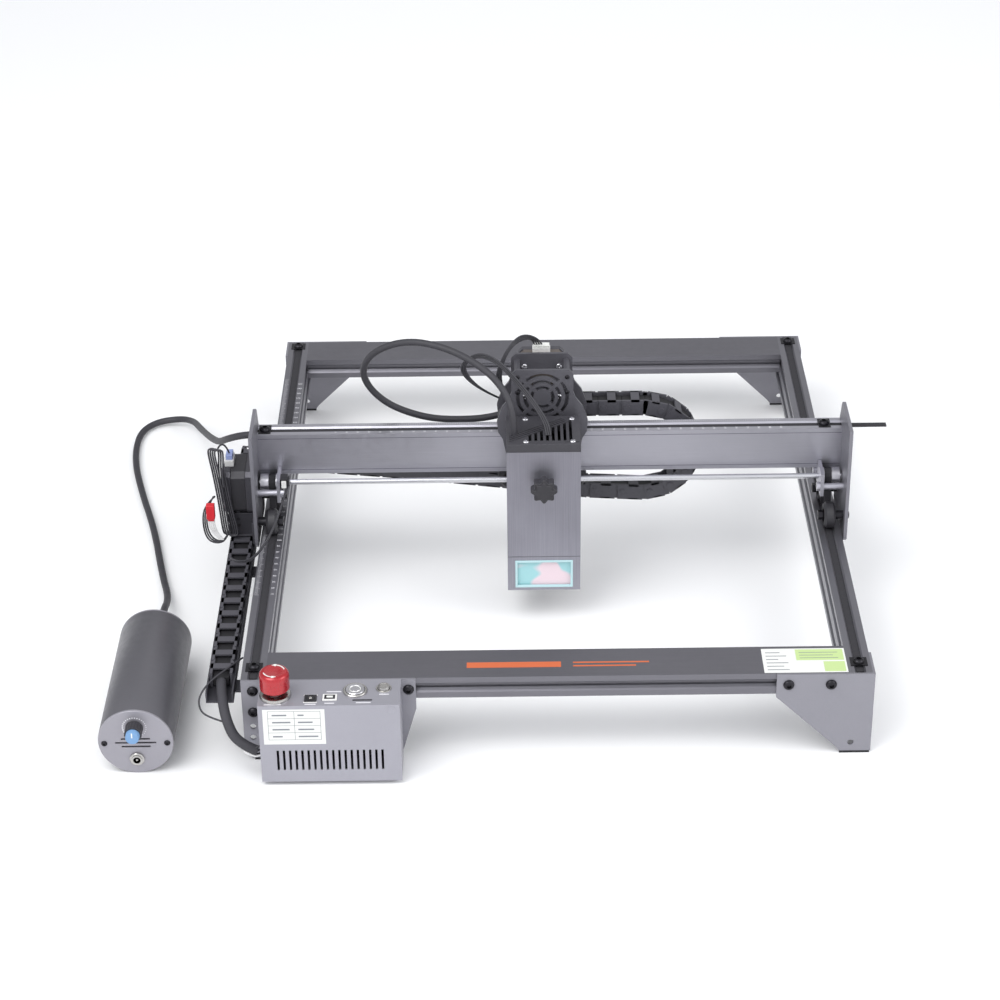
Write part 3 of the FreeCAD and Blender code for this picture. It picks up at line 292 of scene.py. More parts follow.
downwards = [str(10 * i) for i in range(40, -1, -1)]
numbers("rail_numbers", downwards[:-1], (-243.4, 214, deck_z + 0.03), (0, 0, 0), "frame",
        2.3)

# Plate at the front beam's right end: a plain white label with a green field and grey lines for its
# words. Printed film is matt and even.
label_white = finish("label_white", "#dcddd9", 0.45, drift=0.02, relief=0.02)
label_green = finish("label_green", "#b9cf8e", 0.45, drift=0.02, relief=0.02)
label_ink = finish("label_ink", "#7e8187", 0.5, drift=0.05, relief=0.02)
film_top = deck_z + 0.15
field_top = deck_z + 0.2
piece("beam_label", [brick(171, -305, deck_z + 0.02, 240, -269.5, deck_z + 0.14)], label_white, "frame",
      0, False)
piece("beam_label_field", [brick(199, -287, film_top, 238.5, -271, field_top),
                           brick(221, -303.5, film_top, 238.5, -289, field_top)],
      label_green, "frame", 0, False)
bars = []
for i, wide in enumerate((18, 14, 18, 10, 17, 12)):
    bars.append(brick(174, -301 + 5 * i, film_top, 174 + wide, -300 + 5 * i, field_top))
for i in range(3):
    bars.append(brick(202, -284 + 4 * i, deck_z + 0.21, 234 - 4 * (i % 2), -283.3 + 4 * i, deck_z + 0.25))
piece("beam_label_lines", bars, label_ink, "frame", 0, False)
# Plain orange strip with two thin lines in the middle of the front beam, in screen-printed ink.
strips = ((-74, -292.5, 4, -284.5), (14, -287, 77, -285), (14, -292, 66, -290))
piece("beam_badge", [brick(x0, y0, deck_z + 0.02, x1, y1, deck_z + 0.06) for x0, y0, x1, y1 in strips],
      finish("badge_orange", "#c4623a", 0.5, drift=0.03), "frame", 0, False)

# ---------------------------------------------------------------------------
# Control box. Folded steel sheet, powder painted a little lighter than the feet, with a slotted
# face, a printed label, sockets and buttons. It hangs on its foot at the left of the front beam.
box_paint = finish("box_paint", "#9d9ca4", 0.42, 0.5, grain=1700, relief=0.14, drift=0.05)
dress("control_box_shell", box_paint, 1.0)
face_y = -345.0   # front of the box
box_top = 79.5    # upper face of the box's sheet
# Near-black sheet at the box's back: painted shade inside the box, seen through the slots.
piece("box_back_painted_shade", [brick(-240, -313, 8, -131, -308.5, 76)], finish("box_inside_painted_shade", "#1c1d1f", 0.8),
      "frame", 0, False)
piece("box_label", [brick(-239.5, face_y - 0.12, 41.7, -189, face_y - 0.01, 76)], label_white, "frame",
      0, False)


def print_on_face(x, z, wide, high):
    """A field of ink on the label of the box's face."""
    return brick(x, face_y - 0.16, z, x + wide, face_y - 0.13, z + high)


rule = 0.35
word_rows = ((48.6, 8, 16), (55.6, 14, 13), (62.6, 15, 12), (69.6, 12, 5))
rows = [print_on_face(-235.5, z, 43, rule) for z in (46, 53, 60, 67, 74)]
rows += [print_on_face(x, 46, rule, 28.2) for x in (-235.5, -214, -192.8)]
rows += [print_on_face(-232, z, left, 1.5) for z, left, right in word_rows]
rows += [print_on_face(-211, z, right, 1.5) for z, left, right in word_rows]
piece("box_label_lines", rows, label_ink, "frame", 0, False)
emboss = [(4.2, 0), (4.2, -0.15), (3.7, -0.3), (3.2, -0.15), (0.01, -0.12)]
piece("box_emboss", [turn(emboss, "y", (-135, face_y, 74))], box_paint, "frame", 0)

# Sockets on the box's top: moulded plastic, black or white, with a satin gloss. The black also paints shade
# into holes, slots and openings elsewhere. Plated parts are nickel, a warm mirror that fingers have dulled
# in places.
socket_black_and_shade = finish("socket_black_and_shade", "#232226", 0.45, grain=600)
socket_white = finish("socket_white", "#d9d8d6", 0.5, grain=600)
chrome = finish("plated", "#b5b3b0", 0.22, 1.0, grain=900, relief=0.04, wear=0.1)
inlet_x, inlet_y = -200.6, -335.6
inlet_half, rim_half = 5.0, 5.6
inlet_throat = [(3.9, 80.61), (3.9, 79.0), (3, 79), (3, 80.7), (3.9, 80.7)]
piece("power_inlet", [brick(inlet_x - inlet_half, inlet_y - inlet_half, box_top, inlet_x + inlet_half,
                            inlet_y + inlet_half, 80.6),
                      turn(inlet_throat, "z", (inlet_x, inlet_y, 0))],
      socket_black_and_shade, "frame", 0.3, stands_for=("box_fittings",))
piece("inlet_pin", [turn([(1.4, 79.6), (1.4, 81), (1.0, 81.5), (0.01, 81.6)], "z", (inlet_x, inlet_y, 0))],
      chrome, "frame", 0.1)
rims = []
for y in (inlet_y - rim_half, inlet_y + rim_half - 1.2):
    rims.append(brick(inlet_x - rim_half, y, box_top + 0.02, inlet_x + rim_half, y + 1.2, 80.2))
piece("inlet_rim", rims, socket_white, "frame", 0.2)
piece("data_socket", [brick(-191, -338.2, 78, -179, -329.2, 80.3)], socket_white, "frame",
      0.5)
# Thin black plate on the socket's top: painted shade in its opening, round the tongue.
piece("data_socket_painted_shade", [brick(-189.4, -336.7, 80.2, -180.6, -330.7, 80.42)], socket_black_and_shade, "frame",
      0.2)
piece("data_socket_tongue", [brick(-187.6, -334.9, 80.3, -182.4, -332.4, 80.7)], label_white, "frame",
      0.2)
# Black strip flush with the box's top: painted shade in the card slot's opening.
piece("card_slot_painted_shade", [brick(-166.2, -338.3, 78.5, -150.6, -336.9, box_top + 0.06)], socket_black_and_shade, "frame",
      0)
# Short plain lines where the sockets and buttons have their names.
name_lines = ((-205, -343.6, 9), (-189, -342.4, 8), (-163.5, -342, 12), (-145, -330.5, 8), (-188, -326, 12),
              (-238, -343.6, 14))
ink = [brick(x, y, box_top + 0.02, x + wide, y + 1.3, box_top + 0.06) for x, y, wide in name_lines]
piece("box_print", ink, etched, "frame", 0, False)
# Controller board inside, seen through the slots: green solder resist on glass fibre.
board_green = finish("board_green", "#2c5a3c", 0.5, grain=500)
piece("controller_board", [brick(-235, -314, 12, -136, -312.4, 64)], board_green, "frame",
      0.1)
chips = [brick(x, -318, 20, x + 15, -314, 40) for x in (-225, -200)]
piece("controller_chips", chips + [turn([(5, 16), (5, 28)], "z", (-150, -319.5, 0))], socket_black_and_shade, "frame",
      0.2)

# Emergency stop: a plated ring and a red mushroom cap with a shallow dish and two curved arrows. The
# cap is glossy moulded plastic, so it has a clear coat's highlight.
stop_x, stop_y = -229.5, -330.0
stop_middle = (stop_x, stop_y, 0)
ring_profile = [(5.4, box_top), (13, box_top), (13, 81.2), (12.4, 82.6), (11, 83), (5.4, 83),
                (5.4, box_top)]
piece("stop_ring", [turn(ring_profile, "z", stop_middle, 48)], chrome, "frame", 0)
dress("estop_stem", screw_bright)
red_cap = finish("red_cap", "#a8131f", 0.26, 0.3, grain=500, relief=0.03, drift=0.08, coat=0.6)
cap_profile = [(8, 88.8), (8, 87.2), (11.6, 87.2), (12.2, 88), (12.3, 92), (12.1, 96), (12.3, 99.4),
               (12, 101.6), (11, 103), (9.4, 103.7), (6, 103.2), (0.01, 102.9)]
piece("stop_cap", [turn(cap_profile, "z", stop_middle, 56)], red_cap, "estop_cap", 0,
      stands_for=("estop_cap",))
arrow_radius, arrow_step, arrow_parts = 8.6, 0.22, 7
arrows = []
for begin in (0.3, 0.3 + math.pi):
    for i in range(arrow_parts):
        near, far = begin + i * arrow_step, begin + (i + 1) * arrow_step
        wide = 0.5 if i < 5 else 1.3 - 0.5 * (i - 5)
        tip = wide * (0.9 if i < arrow_parts - 1 else 0.1)
        ends = ((arrow_radius - wide, near), (arrow_radius + wide, near), (arrow_radius + tip, far),
                (arrow_radius - tip, far))
        arc = [(stop_x + r * math.cos(t), stop_y + r * math.sin(t)) for r, t in ends]
        arrows.append(prism(arc, "z", 103.3, 103.85))
piece("stop_arrows", arrows, label_white, "estop_cap", 0, False)

# Power button: a plated dome with a ring of light in a flange. Reset button: the same, smaller.
power_middle = (-164.7, -324.5, 0)
reset_middle = (-141.5, -321.4, 0)
power_flange = [(8.3, box_top), (10, box_top), (10, 80.6), (9.4, 81.1), (8.3, 81.1), (8.3, box_top)]
power_dome = [(8, 73.5), (8, 81.4), (7.4, 81.9), (5, 81.7), (4.6, 81.3), (4, 81.3), (3.6, 81.8),
              (0.01, 81.9)]
power_light = [(4.6, 81.35), (4.0, 81.35), (4.0, 81.55), (4.6, 81.55), (4.6, 81.35)]
reset_flange = [(5.3, box_top), (6.6, box_top), (6.3, 80.3), (5.3, 80.3), (5.3, box_top)]
reset_dome = [(5, 73.5), (5, 81.6), (4.6, 82.3), (3.4, 82.5), (3.2, 82.1), (0.01, 82.1)]
piece("power_flange", [turn(power_flange, "z", power_middle)], chrome, "frame", 0)
piece("power_cap", [turn(power_dome, "z", power_middle)], screw_bright, "power_button", 0,
      stands_for=("power_button",))
piece("power_light", [turn(power_light, "z", power_middle)], label_white, "power_button", 0)
piece("reset_cap", [turn(reset_dome, "z", reset_middle)], chrome, "reset_button", 0,
      stands_for=("reset_button",))
piece("reset_flange", [turn(reset_flange, "z", reset_middle)], chrome, "frame", 0)

# ---------------------------------------------------------------------------
# Long-axis cable chain in its tray at the left. Moulded nylon links with open crossbars, over a
# bundle of cables: a satin black that grit has greyed. The runs bend between the frame and the
# gantry, and the bend travels at half the gantry's speed.
chain_nylon = finish("chain_nylon", "#47464c", 0.5, grain=900, relief=0.14, drift=0.12)
chain_inner = finish("chain_inner", "#1d1c1f", 0.6, grain=900, relief=0.1)
dress("y_chain_tray", finish("tray_paint", "#4a494f", 0.5, 0.4, grain=1200, relief=0.15), 0.2)


def link(width, high, pitch):
    """One chain link along u from 0 to pitch, as boxes and discs: (u, side, up) in millimetres.

    Its middle is at side 0 and up 0. The far ends of its cheeks lap inside the next link's cheeks,
    and a disc on each cheek is the pin. Two crossbars close it above and below."""
    half, tall, parts = width / 2, high / 2, []
    for s in (-1, 1):
        near, far = sorted((s * half, s * (half - 2.2)))
        parts.append(brick(1.0, near, -tall, pitch - 1.4, far, tall))
        near, far = sorted((s * (half - 0.9), s * (half - 3.0)))
        parts.append(brick(pitch - 3.5, near, -tall * 0.94, pitch + 3.0, far, tall * 0.94))
        pin = [(0.01, -0.7), (3.0, -0.7), (3.0, 0.2), (2.2, 0.3), (0.01, 0.3)]
        parts.append(turn(pin, "y", (5.4, s * half, 0), 16))
    bar_start, bar_end = pitch * 0.42, pitch * 0.78
    parts.append(brick(bar_start, -half, tall - 1.5, bar_end, half, tall))
    parts.append(brick(bar_start, -half, -tall, bar_end, half, -tall + 1.5))
    return parts


def set_link(origin, along, side, up, width, high, pitch):
    """A link whose start is at origin, turned to lie along a direction."""
    made = []
    for corners, faces in link(width, high, pitch):
        made.append(([tuple(origin + along * u + side * v + up * w) for u, v, w in corners], faces))
    return made


def chain(start, along, count, pitch, width, high):
    """Level links one after the other. start is where the first one begins."""
    along, up = Vector(along), Vector((0, 0, 1))
    shapes = []
    for i in range(count):
        origin = Vector(start) + along * pitch * i
        shapes += set_link(origin, along, up.cross(along), up, width, high, pitch)
    return shapes


def arc_chain(centre, radius, count, width, high, plane):
    """Links round half a circle, from its bottom to its top. plane is x for a bend in Y and Z, y for
    one in X and Z."""
    shapes = []
    level, side = Vector((1, 0, 0)), Vector((0, 1, 0))
    if plane == "x":
        level, side = side, level
    for i in range(count):
        spots = []
        for a in (-math.pi / 2 + math.pi * i / count, -math.pi / 2 + math.pi * (i + 1) / count):
            spots.append(level * math.cos(a) + Vector((0, 0, math.sin(a))))
        run = (spots[1] - spots[0]) * radius
        up = (spots[0] + spots[1]).normalized()
        origin = Vector(centre) + spots[0] * radius
        shapes += set_link(origin, run.normalized(), side, up, width, high, run.length)
    return shapes


def blended(name, shapes, look, bodies, start, end, stands_for=()):
    """A run of a cable chain, baked where it lies and carried by no body. bodies, start and end are not
    used.
    """
    made = piece(name, shapes, look, None, 0, True, stands_for, ride=False)
    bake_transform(made)


chain_x = -278.5
long_width, long_height = 19, 14
low_start, low_z, high_start, high_z = -285, 64, -60, 86.5
low_reach = ((-276, low_start, low_z), (-276, 409, low_z))
high_reach = ((-276, high_start, high_z), (-276, 184, high_z))
low_links = chain((chain_x, low_start, low_z), (0, 1, 0), 17, 20.4, long_width, long_height)
blended("long_chain_lower", low_links, chain_nylon, ("frame", "gantry"), *low_reach, ("y_chain_fixed",))
cores = [brick(-285, low_start + 23 * i, 60, -272, low_start + 23 * (i + 1), 67.2) for i in range(15)]
blended("long_chain_cables", cores, chain_inner, ("frame", "gantry"), *low_reach)
bend_z, bend_radius = (low_z + high_z) / 2, (high_z - low_z) / 2
bend_links = arc_chain((chain_x, 62, bend_z), bend_radius, 3, long_width, 13.6, "x")
piece("long_chain_bend", bend_links, chain_nylon, "y_chain_bend", 0,
      stands_for=("y_chain_bend",))
high_links = chain((chain_x, high_start, high_z), (0, 1, 0), 6, 20.3, long_width, long_height)
blended("long_chain_upper", high_links, chain_nylon, ("gantry", "frame"), *high_reach, ("y_chain_moving",))

# Cross-axis cable chain behind the gantry, of the same nylon. It leaves the carriage level, bends
# down at the right and comes back below the beam to its bracket on the left side plate, sagging.
cross_y = 10.0
cross_width, cross_height = 19.6, 15
core_front, core_rear, core_half = cross_y - 6.5, cross_y + 6.5, 4.5
cross_bend_x, cross_bend_z, cross_bend_radius = 88, 118.5, 44.5
low_line = [(-240, 110.5), (-195, 105.5), (-133, 99.5), (-43, 88.5), (37, 77), (cross_bend_x, 74)]
walk = []
for (x0, z0), (x1, z1) in zip(low_line, low_line[1:]):
    steps = max(1, round(math.hypot(x1 - x0, z1 - z0) / 20.5))
    walk += [(x0 + (x1 - x0) * i / steps, z0 + (z1 - z0) * i / steps) for i in range(steps)]
walk.append(low_line[-1])
under, cores = [], []
for (x0, z0), (x1, z1) in zip(walk, walk[1:]):
    run = Vector((x1 - x0, 0, z1 - z0))
    along, side = run.normalized(), Vector((0, -1, 0))
    up = Vector((-along.z, 0, along.x))
    origin = Vector((x0, cross_y, z0))
    under += set_link(origin, along, side, up, cross_width, cross_height, run.length)
    slice_of_core = [(x0, z0 - core_half), (x1, z1 - core_half), (x1, z1 + core_half), (x0, z0 + core_half)]
    cores.append(prism(slice_of_core, "y", core_front, core_rear))
under_reach = ((-240, cross_y, 90), (416, cross_y, 90))
blended("cross_chain_lower", under, chain_nylon, ("gantry", "carriage"), *under_reach, ("x_chain_fixed",))
blended("cross_chain_cables", cores, chain_inner, ("gantry", "carriage"), *under_reach)
bracket = [brick(-262.4, -13.8, 109, -240, 19.8, 111), brick(-262.4, -13.8, 101, -260.9, -7, 119)]
piece("cross_chain_anchor", bracket, sheet_paint, "gantry", 0.2)
bend_middle = (cross_bend_x, cross_y, cross_bend_z)
cross_bend = arc_chain(bend_middle, cross_bend_radius, 7, cross_width, cross_height, "y")
piece("cross_chain_bend", cross_bend, chain_nylon, "x_chain_bend", 0,
      stands_for=("x_chain_bend",))
core_bend = []
core_steps = 14
for i in range(core_steps):
    near, far = -math.pi / 2 + i * math.pi / core_steps, -math.pi / 2 + (i + 1) * math.pi / core_steps
    ends = ((40, near), (49, near), (49, far), (40, far))
    outline = [(cross_bend_x + r * math.cos(t), cross_bend_z + r * math.sin(t)) for r, t in ends]
    core_bend.append(prism(outline, "y", core_front, core_rear))
piece("cross_chain_bend_cables", core_bend, chain_inner, "x_chain_bend", 0)
upper_z, upper_pitch, upper_links = cross_bend_z + cross_bend_radius, 21.4, 5
upper_reach = ((-20, cross_y, upper_z), (196, cross_y, upper_z))
top_links = chain((-20, cross_y, upper_z), (1, 0, 0), upper_links, upper_pitch, cross_width, cross_height)
blended("cross_chain_upper", top_links, chain_nylon, ("carriage", "gantry"), *upper_reach,
        ("x_chain_moving",))
cores = []
for i in range(upper_links):
    x = -19 + upper_pitch * i
    cores.append(brick(x, core_front, upper_z - core_half, x + 21, core_rear, upper_z + core_half))
blended("cross_chain_upper_cables", cores, chain_inner, ("carriage", "gantry"), *upper_reach)

# ---------------------------------------------------------------------------
# Gantry. A beam of drawn aluminium, clear anodised and brushed along its length, so it is silvery
# with long streaks. It runs between two painted side plates, which carry the wheels and the motor.
beam_along = (0.5, 60, 60)
gantry_finish = finish("gantry_anodised", "#abaab2", 0.33, 0.85, beam_along, 42, 0.12, 0.1)
dress("gantry_beam", gantry_finish, 0.3)
dress("gantry_plates", finish("cheek_paint", "#7f7e85", 0.4, 0.5, grain=1500, relief=0.14, drift=0.05), 0.4)
dress("gantry_belts", belt_rubber)
# Ground steel is the brightest metal here. The bearing plates are bead blasted.
dress("sync_shaft", finish("shaft_steel", "#c9c9cd", 0.18, 1.0, beam_along, 60, 0.03, 0.04, wear=0.08))
dress("shaft_bearings", finish("bearing_plate", "#b3b2ba", 0.35, 0.8, grain=900, relief=0.1), 0.3)
beam_top = 159.0
beam_half = 262   # half of the beam's length between the plates
groove_dark = finish("groove_shade", "#6d6c75", 0.4, 0.8, beam_along, 42, 0.1)
piece("beam_lines", [brick(-beam_half, -35.06, z, beam_half, -34.9, z + 0.5) for z in (154.6, 122.8)],
      groove_dark, "gantry", 0, False)
gantry_scale_x, gantry_scale_y = -193, -18.6
marks = []
for i in range(travel // scale_pitch + 1):
    x = gantry_scale_x + scale_pitch * i
    long = 2.4 if i % 5 else 3.2
    marks.append(brick(x, gantry_scale_y, beam_top, x + 0.25, gantry_scale_y + long, beam_top + line_thick))
piece("gantry_scale", marks, etched, "gantry", 0, False)
numbers("gantry_numbers", downwards, (207, -31.2, beam_top + 0.03), (0, 0, -math.pi / 2), "gantry",
        2.0)

# Stepper motor of the long axis: a square can with cut corners, of enamelled steel sheets, between
# cast lids that are lighter. Four screws hold it, and a blue plug goes into the socket on its top.
motor_black = finish("motor_black", "#363539", 0.42, 0.35, grain=1300, relief=0.2)
motor_lid = finish("motor_lid", "#4d4c52", 0.38, 0.5, grain=1300, relief=0.12)
can_half, lid_half, motor_screw = 20.9, 21.1, 15.5


def square(a, b, half, cut):
    """A square outline round (a, b) with its corners cut off."""
    spots = [(-half, -half + cut), (-half + cut, -half), (half - cut, -half), (half, -half + cut),
             (half, half - cut), (half - cut, half), (-half + cut, half), (-half, half - cut)]
    return [(a + p, b + q) for p, q in spots]


shaft_y, shaft_z = -45, 116
motor_back, motor_front = -292.5, -265.5
can_start, can_end = -285.5, -272.5
long_can, long_lid = square(shaft_y, shaft_z, can_half, 5), square(shaft_y, shaft_z, lid_half, 4)
boss = turn([(11, -262.4), (11, -265.4), (0.01, -265.4)], "x", (0, shaft_y, shaft_z))
piece("long_motor_can", [prism(long_can, "x", can_start, can_end), boss], motor_black, "gantry",
      0.4, stands_for=("y_motor",))
lids = [prism(long_lid, "x", can_end, motor_front), prism(long_lid, "x", motor_back, can_start)]
piece("long_motor_lids", lids, motor_lid, "gantry", 0.5)
heads = []
for a in (-motor_screw, motor_screw):
    for b in (-motor_screw, motor_screw):
        heads.append(button_screw(motor_back, shaft_y + a, shaft_z + b, "x", -1, 2.7, 1.2))
piece("long_motor_screws", heads, screw_bright, "gantry", 0)
piece("long_motor_socket", [brick(-291, -53, 137, -283, -37, 143)], socket_white, "gantry",
      0.5)
piece("long_motor_plug", [brick(-290, -51, 143, -284, -39, 147.5)], finish("plug_blue", "#8f9cc9", 0.45),
      "gantry", 0.5)
# Red two-pole plug that hangs in the hank, and the bracket that holds the long chain's moving end.
plug = [brick(-308.5, -73, 94, -301, -66.5, 108), brick(-307.5, -72, 91.5, -302, -67.5, 94)]
piece("pump_plug_red", plug, finish("plug_red", "#c9202c", 0.4), "gantry", 0.6)
piece("chain_bracket", [brick(-267.5, -80, 72, -265.6, -60, 94), brick(-290, -62, 72, -266, -60, 94),
                        brick(-290, -66, 72, -266, -62, 73.6)], motor_lid, "gantry", 0.3)
# Black discs on the bracket's face: painted shade in its holes.
bracket_hole = [(1.5, -62.1), (1.5, -62.02), (0.01, -62.02)]
piece("chain_bracket_painted_hole_shade", [turn(bracket_hole, "y", (-281, 0, z), 20) for z in (88, 81.5)], socket_black_and_shade,
      "gantry", 0)

# V wheels on the rails: moulded black tyres with 45 degree flanks, pressed on bright bearings.
tyre_black = finish("tyre_black", "#29282c", 0.5, grain=900, relief=0.1)
tyre_line = [(7.4, -5.1), (9.8, -5.1), (11.95, -2.95), (11.95, 2.95), (9.8, 5.1), (7.4, 5.1), (7.4, 4.4),
             (7.4, -4.4), (7.4, -5.1)]
race_line = [(2.6, -4.3), (7.39, -4.3), (7.39, 4.3), (2.6, 4.3), (2.6, -4.3)]
axle_z = 89.6
axle_y = {"y_front_wheels": -69.5, "y_rear_wheels": -20.5}
for name, y in axle_y.items():
    middles = [(x, y, axle_z) for x in (-rail_x, rail_x)]
    piece(name + "_tyres", [turn(tyre_line, "x", spot, 48) for spot in middles], tyre_black, name,
          0, stands_for=(name,))
    piece(name + "_races", [turn(race_line, "x", spot, 32) for spot in middles], screw_bright, name,
          0)


# Axles, spacers, lock nuts and screws of the gantry, in blackened steel.
def rod(low, high, radius, axis, spot, steps=24):
    """A plain rod. With 6 steps it is a nut or a hexagonal spacer."""
    return turn([(radius, low), (radius, high)], axis, spot, steps)


plate_face = 265.5
bolts = []
for s in (-1, 1):
    for y in axle_y.values():
        middle = (0, y, axle_z)
        bolts.append(rod(s * 240, s * plate_face, 2.5, "x", middle))
        bolts.append(rod(s * 255.4, s * 262.5, 4.0, "x", middle))
        bolts.append(rod(s * 240, s * 244.5, 4.4, "x", middle, 6))
        bolts.append(button_screw(s * plate_face, y, axle_z, "x", s, 4.4, 2.6))
    # The motor stands where the left plate would have its lower screw.
    for z in (149, 129)[:1 if s < 0 else 2]:
        bolts.append(button_screw(s * plate_face, -25, z, "x", s))
for x in (-256, 247):
    bolts.append(button_screw(x, -25, beam_top + 0.2, "z", 1, 4.8, 3.0))
    bolts.append(brick(x - 5.5, -33, beam_top - 0.1, x + 5.5, -17, beam_top + 0.3))
piece("gantry_bolts", bolts, screw_black, "gantry", 0, stands_for=("gantry_fixings",))
heads = [button_screw(s * 242, y, 113, "x", -s, 4.2, 2.9) for s in (-1, 1) for y in (-59, -28)]
piece("bearing_screws", heads, screw_black, "gantry", 0)

# Belt pulleys on the shaft: turned aluminium, a toothed barrel between flanges, with a hub.
pulley_metal = finish("pulley_metal", "#b9b8bd", 0.3, 0.95, grain=900, relief=0.06)


def pulley(x, y, z, axis, way):
    """A pulley round a place. Its hub stands towards way."""
    half, flange, barrel, bore, hub_end, teeth = 3.4, 8, 5.75, 2.5, 10.4, 20
    profile = [(bore, -half - 1), (flange, -half - 1), (flange, -half), (barrel, -half), (barrel, half),
               (flange, half), (flange, half + 1), (flange, hub_end), (flange - 0.5, hub_end),
               (bore, hub_end), (bore, -half - 1)]
    shapes = [turn([(r, way * h) for r, h in profile], axis, (x, y, z), 32)]
    for i in range(teeth):
        a = 2 * math.pi * i / teeth
        u, v = (barrel + 0.15) * math.cos(a), (barrel + 0.15) * math.sin(a)
        centre = (x, y + u, z + v) if axis == "x" else (x + v, y, z + u)
        shapes.append(turn([(0.45, -half), (0.45, half)], axis, centre, 6))
    return shapes


pulleys = pulley(-rail_x, shaft_y, shaft_z, "x", -1) + pulley(rail_x, shaft_y, shaft_z, "x", 1)
piece("drive_pulleys", pulleys, pulley_metal, "sync_shaft", 0, stands_for=("y_pulleys",))
dress("limit_switch", socket_black_and_shade, 0.3)
piece("switch_plug", [brick(-240.6, -62.5, 119.5, -236.4, -60, 126)], socket_white, "gantry",
      0.3)

# ---------------------------------------------------------------------------
# Carriage. Two plates of black anodised sheet, dark and dull, with four wheels, spacers and rods
# between them. The cross-axis motor stands behind their upper part.
plate_dark = finish("plate_dark", "#57565c", 0.42, 0.35, grain=1600, relief=0.18, drift=0.06)
dress("carriage_front_plate", plate_dark, 0.3)
dress("carriage_rear_plate", plate_dark, 0.3)
dress("x_belt_loop", belt_rubber)
head_x = -6.5     # middle of the carriage and of the head
wheel_reach = 28
upper_wheel_z, lower_wheel_z = 169.6, 108.4
front_plate_y, rear_plate_y = -42.5, -7.5
wheels = [(head_x + s * wheel_reach, -25, z) for z in (upper_wheel_z, lower_wheel_z) for s in (-1, 1)]
for i, spot in enumerate(wheels, 1):
    name = f"x_wheel_{i}"
    piece(name + "_tyre", [turn(tyre_line, "y", spot, 48)], tyre_black, name, 0,
          stands_for=(name,))
    piece(name + "_race", [turn(race_line, "y", spot, 32)], screw_bright, name, 0)
rods, heads, spacers, dark_heads = [], [], [], []
for s in (-1, 1):
    upper = (head_x + wheel_reach * s, 0, upper_wheel_z)
    lower = (head_x + wheel_reach * s, 0, lower_wheel_z)
    rods += [rod(front_plate_y, rear_plate_y, 2.5, "y", upper), rod(-39.5, -30.4, 4, "y", upper),
             rod(-19.6, -10.5, 4, "y", upper), rod(rear_plate_y, -3.5, 4.4, "y", upper, 6),
             rod(-34.1, rear_plate_y, 2.5, "y", lower), rod(-34.4, -30.4, 4.4, "y", lower),
             rod(-19.6, -10.5, 4, "y", lower), rod(rear_plate_y, -3.5, 4.4, "y", lower, 6)]
    heads.append(button_screw(upper[0], front_plate_y, upper_wheel_z, "y", -1, 4.4, 2.8))
    spacer_x = head_x + 22 * s
    for z in (218, 203):
        spacers.append(rod(-39.5, -10.5, 3, "y", (spacer_x, 0, z), 6))
        dark_heads.append(button_screw(spacer_x, front_plate_y, z, "y", -1, 2.1, 1.1))
        dark_heads.append(button_screw(spacer_x, rear_plate_y, z, "y", 1, 2.1, 1.1))
    for z in (181.5, 212.5):
        heads.append(button_screw(head_x + motor_screw * s, -10.5, z, "y", -1, 2.7, 1.4))
focus_rail = brick(-15.5, -49.7, 124, 2.5, -42.6, 170)
piece("carriage_rods", rods + [focus_rail], pulley_metal, "carriage", 0,
      stands_for=("carriage_fixings",))
piece("carriage_screws", heads, screw_bright, "carriage", 0)
piece("carriage_spacers", spacers, plate_dark, "carriage", 0)
piece("carriage_dark_screws", dark_heads, screw_black, "carriage", 0)

# Cross-axis motor: its can is bare laminated steel, brownish with fine lines along it, between the
# same lids. A white plug with seven pins stands on its top.
laminated = finish("motor_laminated", "#6e6661", 0.4, 0.6, along_y, 60, 0.15)
motor_z = 197
cross_can, cross_lid = square(head_x, motor_z, can_half, 5), square(head_x, motor_z, lid_half, 4)
boss = turn([(4, -9.5), (11, -9.5), (11, -7.6), (4, -7.6), (4, -9.5)], "y", (head_x, 0, motor_z))
piece("cross_motor_can", [prism(cross_can, "y", -2.5, 12.5), boss], laminated, "carriage",
      0.4, stands_for=("x_motor",))
piece("cross_motor_lids", [prism(cross_lid, "y", -7.5, -2.5), prism(cross_lid, "y", 12.5, 18.5)], motor_lid,
      "carriage", 0.5)
piece("cross_motor_socket", [brick(-14.5, 4.5, 218, 1.5, 11.5, 223)], socket_white, "carriage",
      0.4)
pins = [brick(x, 4.4, 222, x + 0.8, 5.2, 225.4) for x in (-13 + 2.2 * i for i in range(7))]
piece("cross_motor_plug", [brick(-13.8, 5, 221.5, 0.8, 11, 225.5)] + pins, label_white, "carriage",
      0.3)
motor_shaft = rod(-33, -7.8, 2.5, "y", (head_x, 0, motor_z))
piece("cross_pulley", pulley(head_x, -25, motor_z, "y", 1) + [motor_shaft], pulley_metal, "x_pulley",
      0, stands_for=("x_pulley",))

# ---------------------------------------------------------------------------
# Laser head. Cover and shield are folded aluminium, brushed upright, so they carry fine upright
# streaks. The cap is black moulded plastic with slots under a slanting set of ribs.
brushed = finish("brushed_cover", "#92919a", 0.36, 0.8, along_z, 38, 0.22, 0.2)
dress("head_housing", brushed, 0.8)
dress("head_shield", brushed, 0.8)
# Inside, the heat sink is black anodised, a dull metal, and the fan is glossy moulded plastic.
dress("laser_module", finish("sink_black", "#26262a", 0.4, 0.6, (1, 1, 60), 40, 0.1))
dress("fan_rotor", finish("fan_black", "#232226", 0.35, grain=500))
cap_black = finish("cap_black", "#3c3b40", 0.5, grain=1500, relief=0.25, drift=0.08)


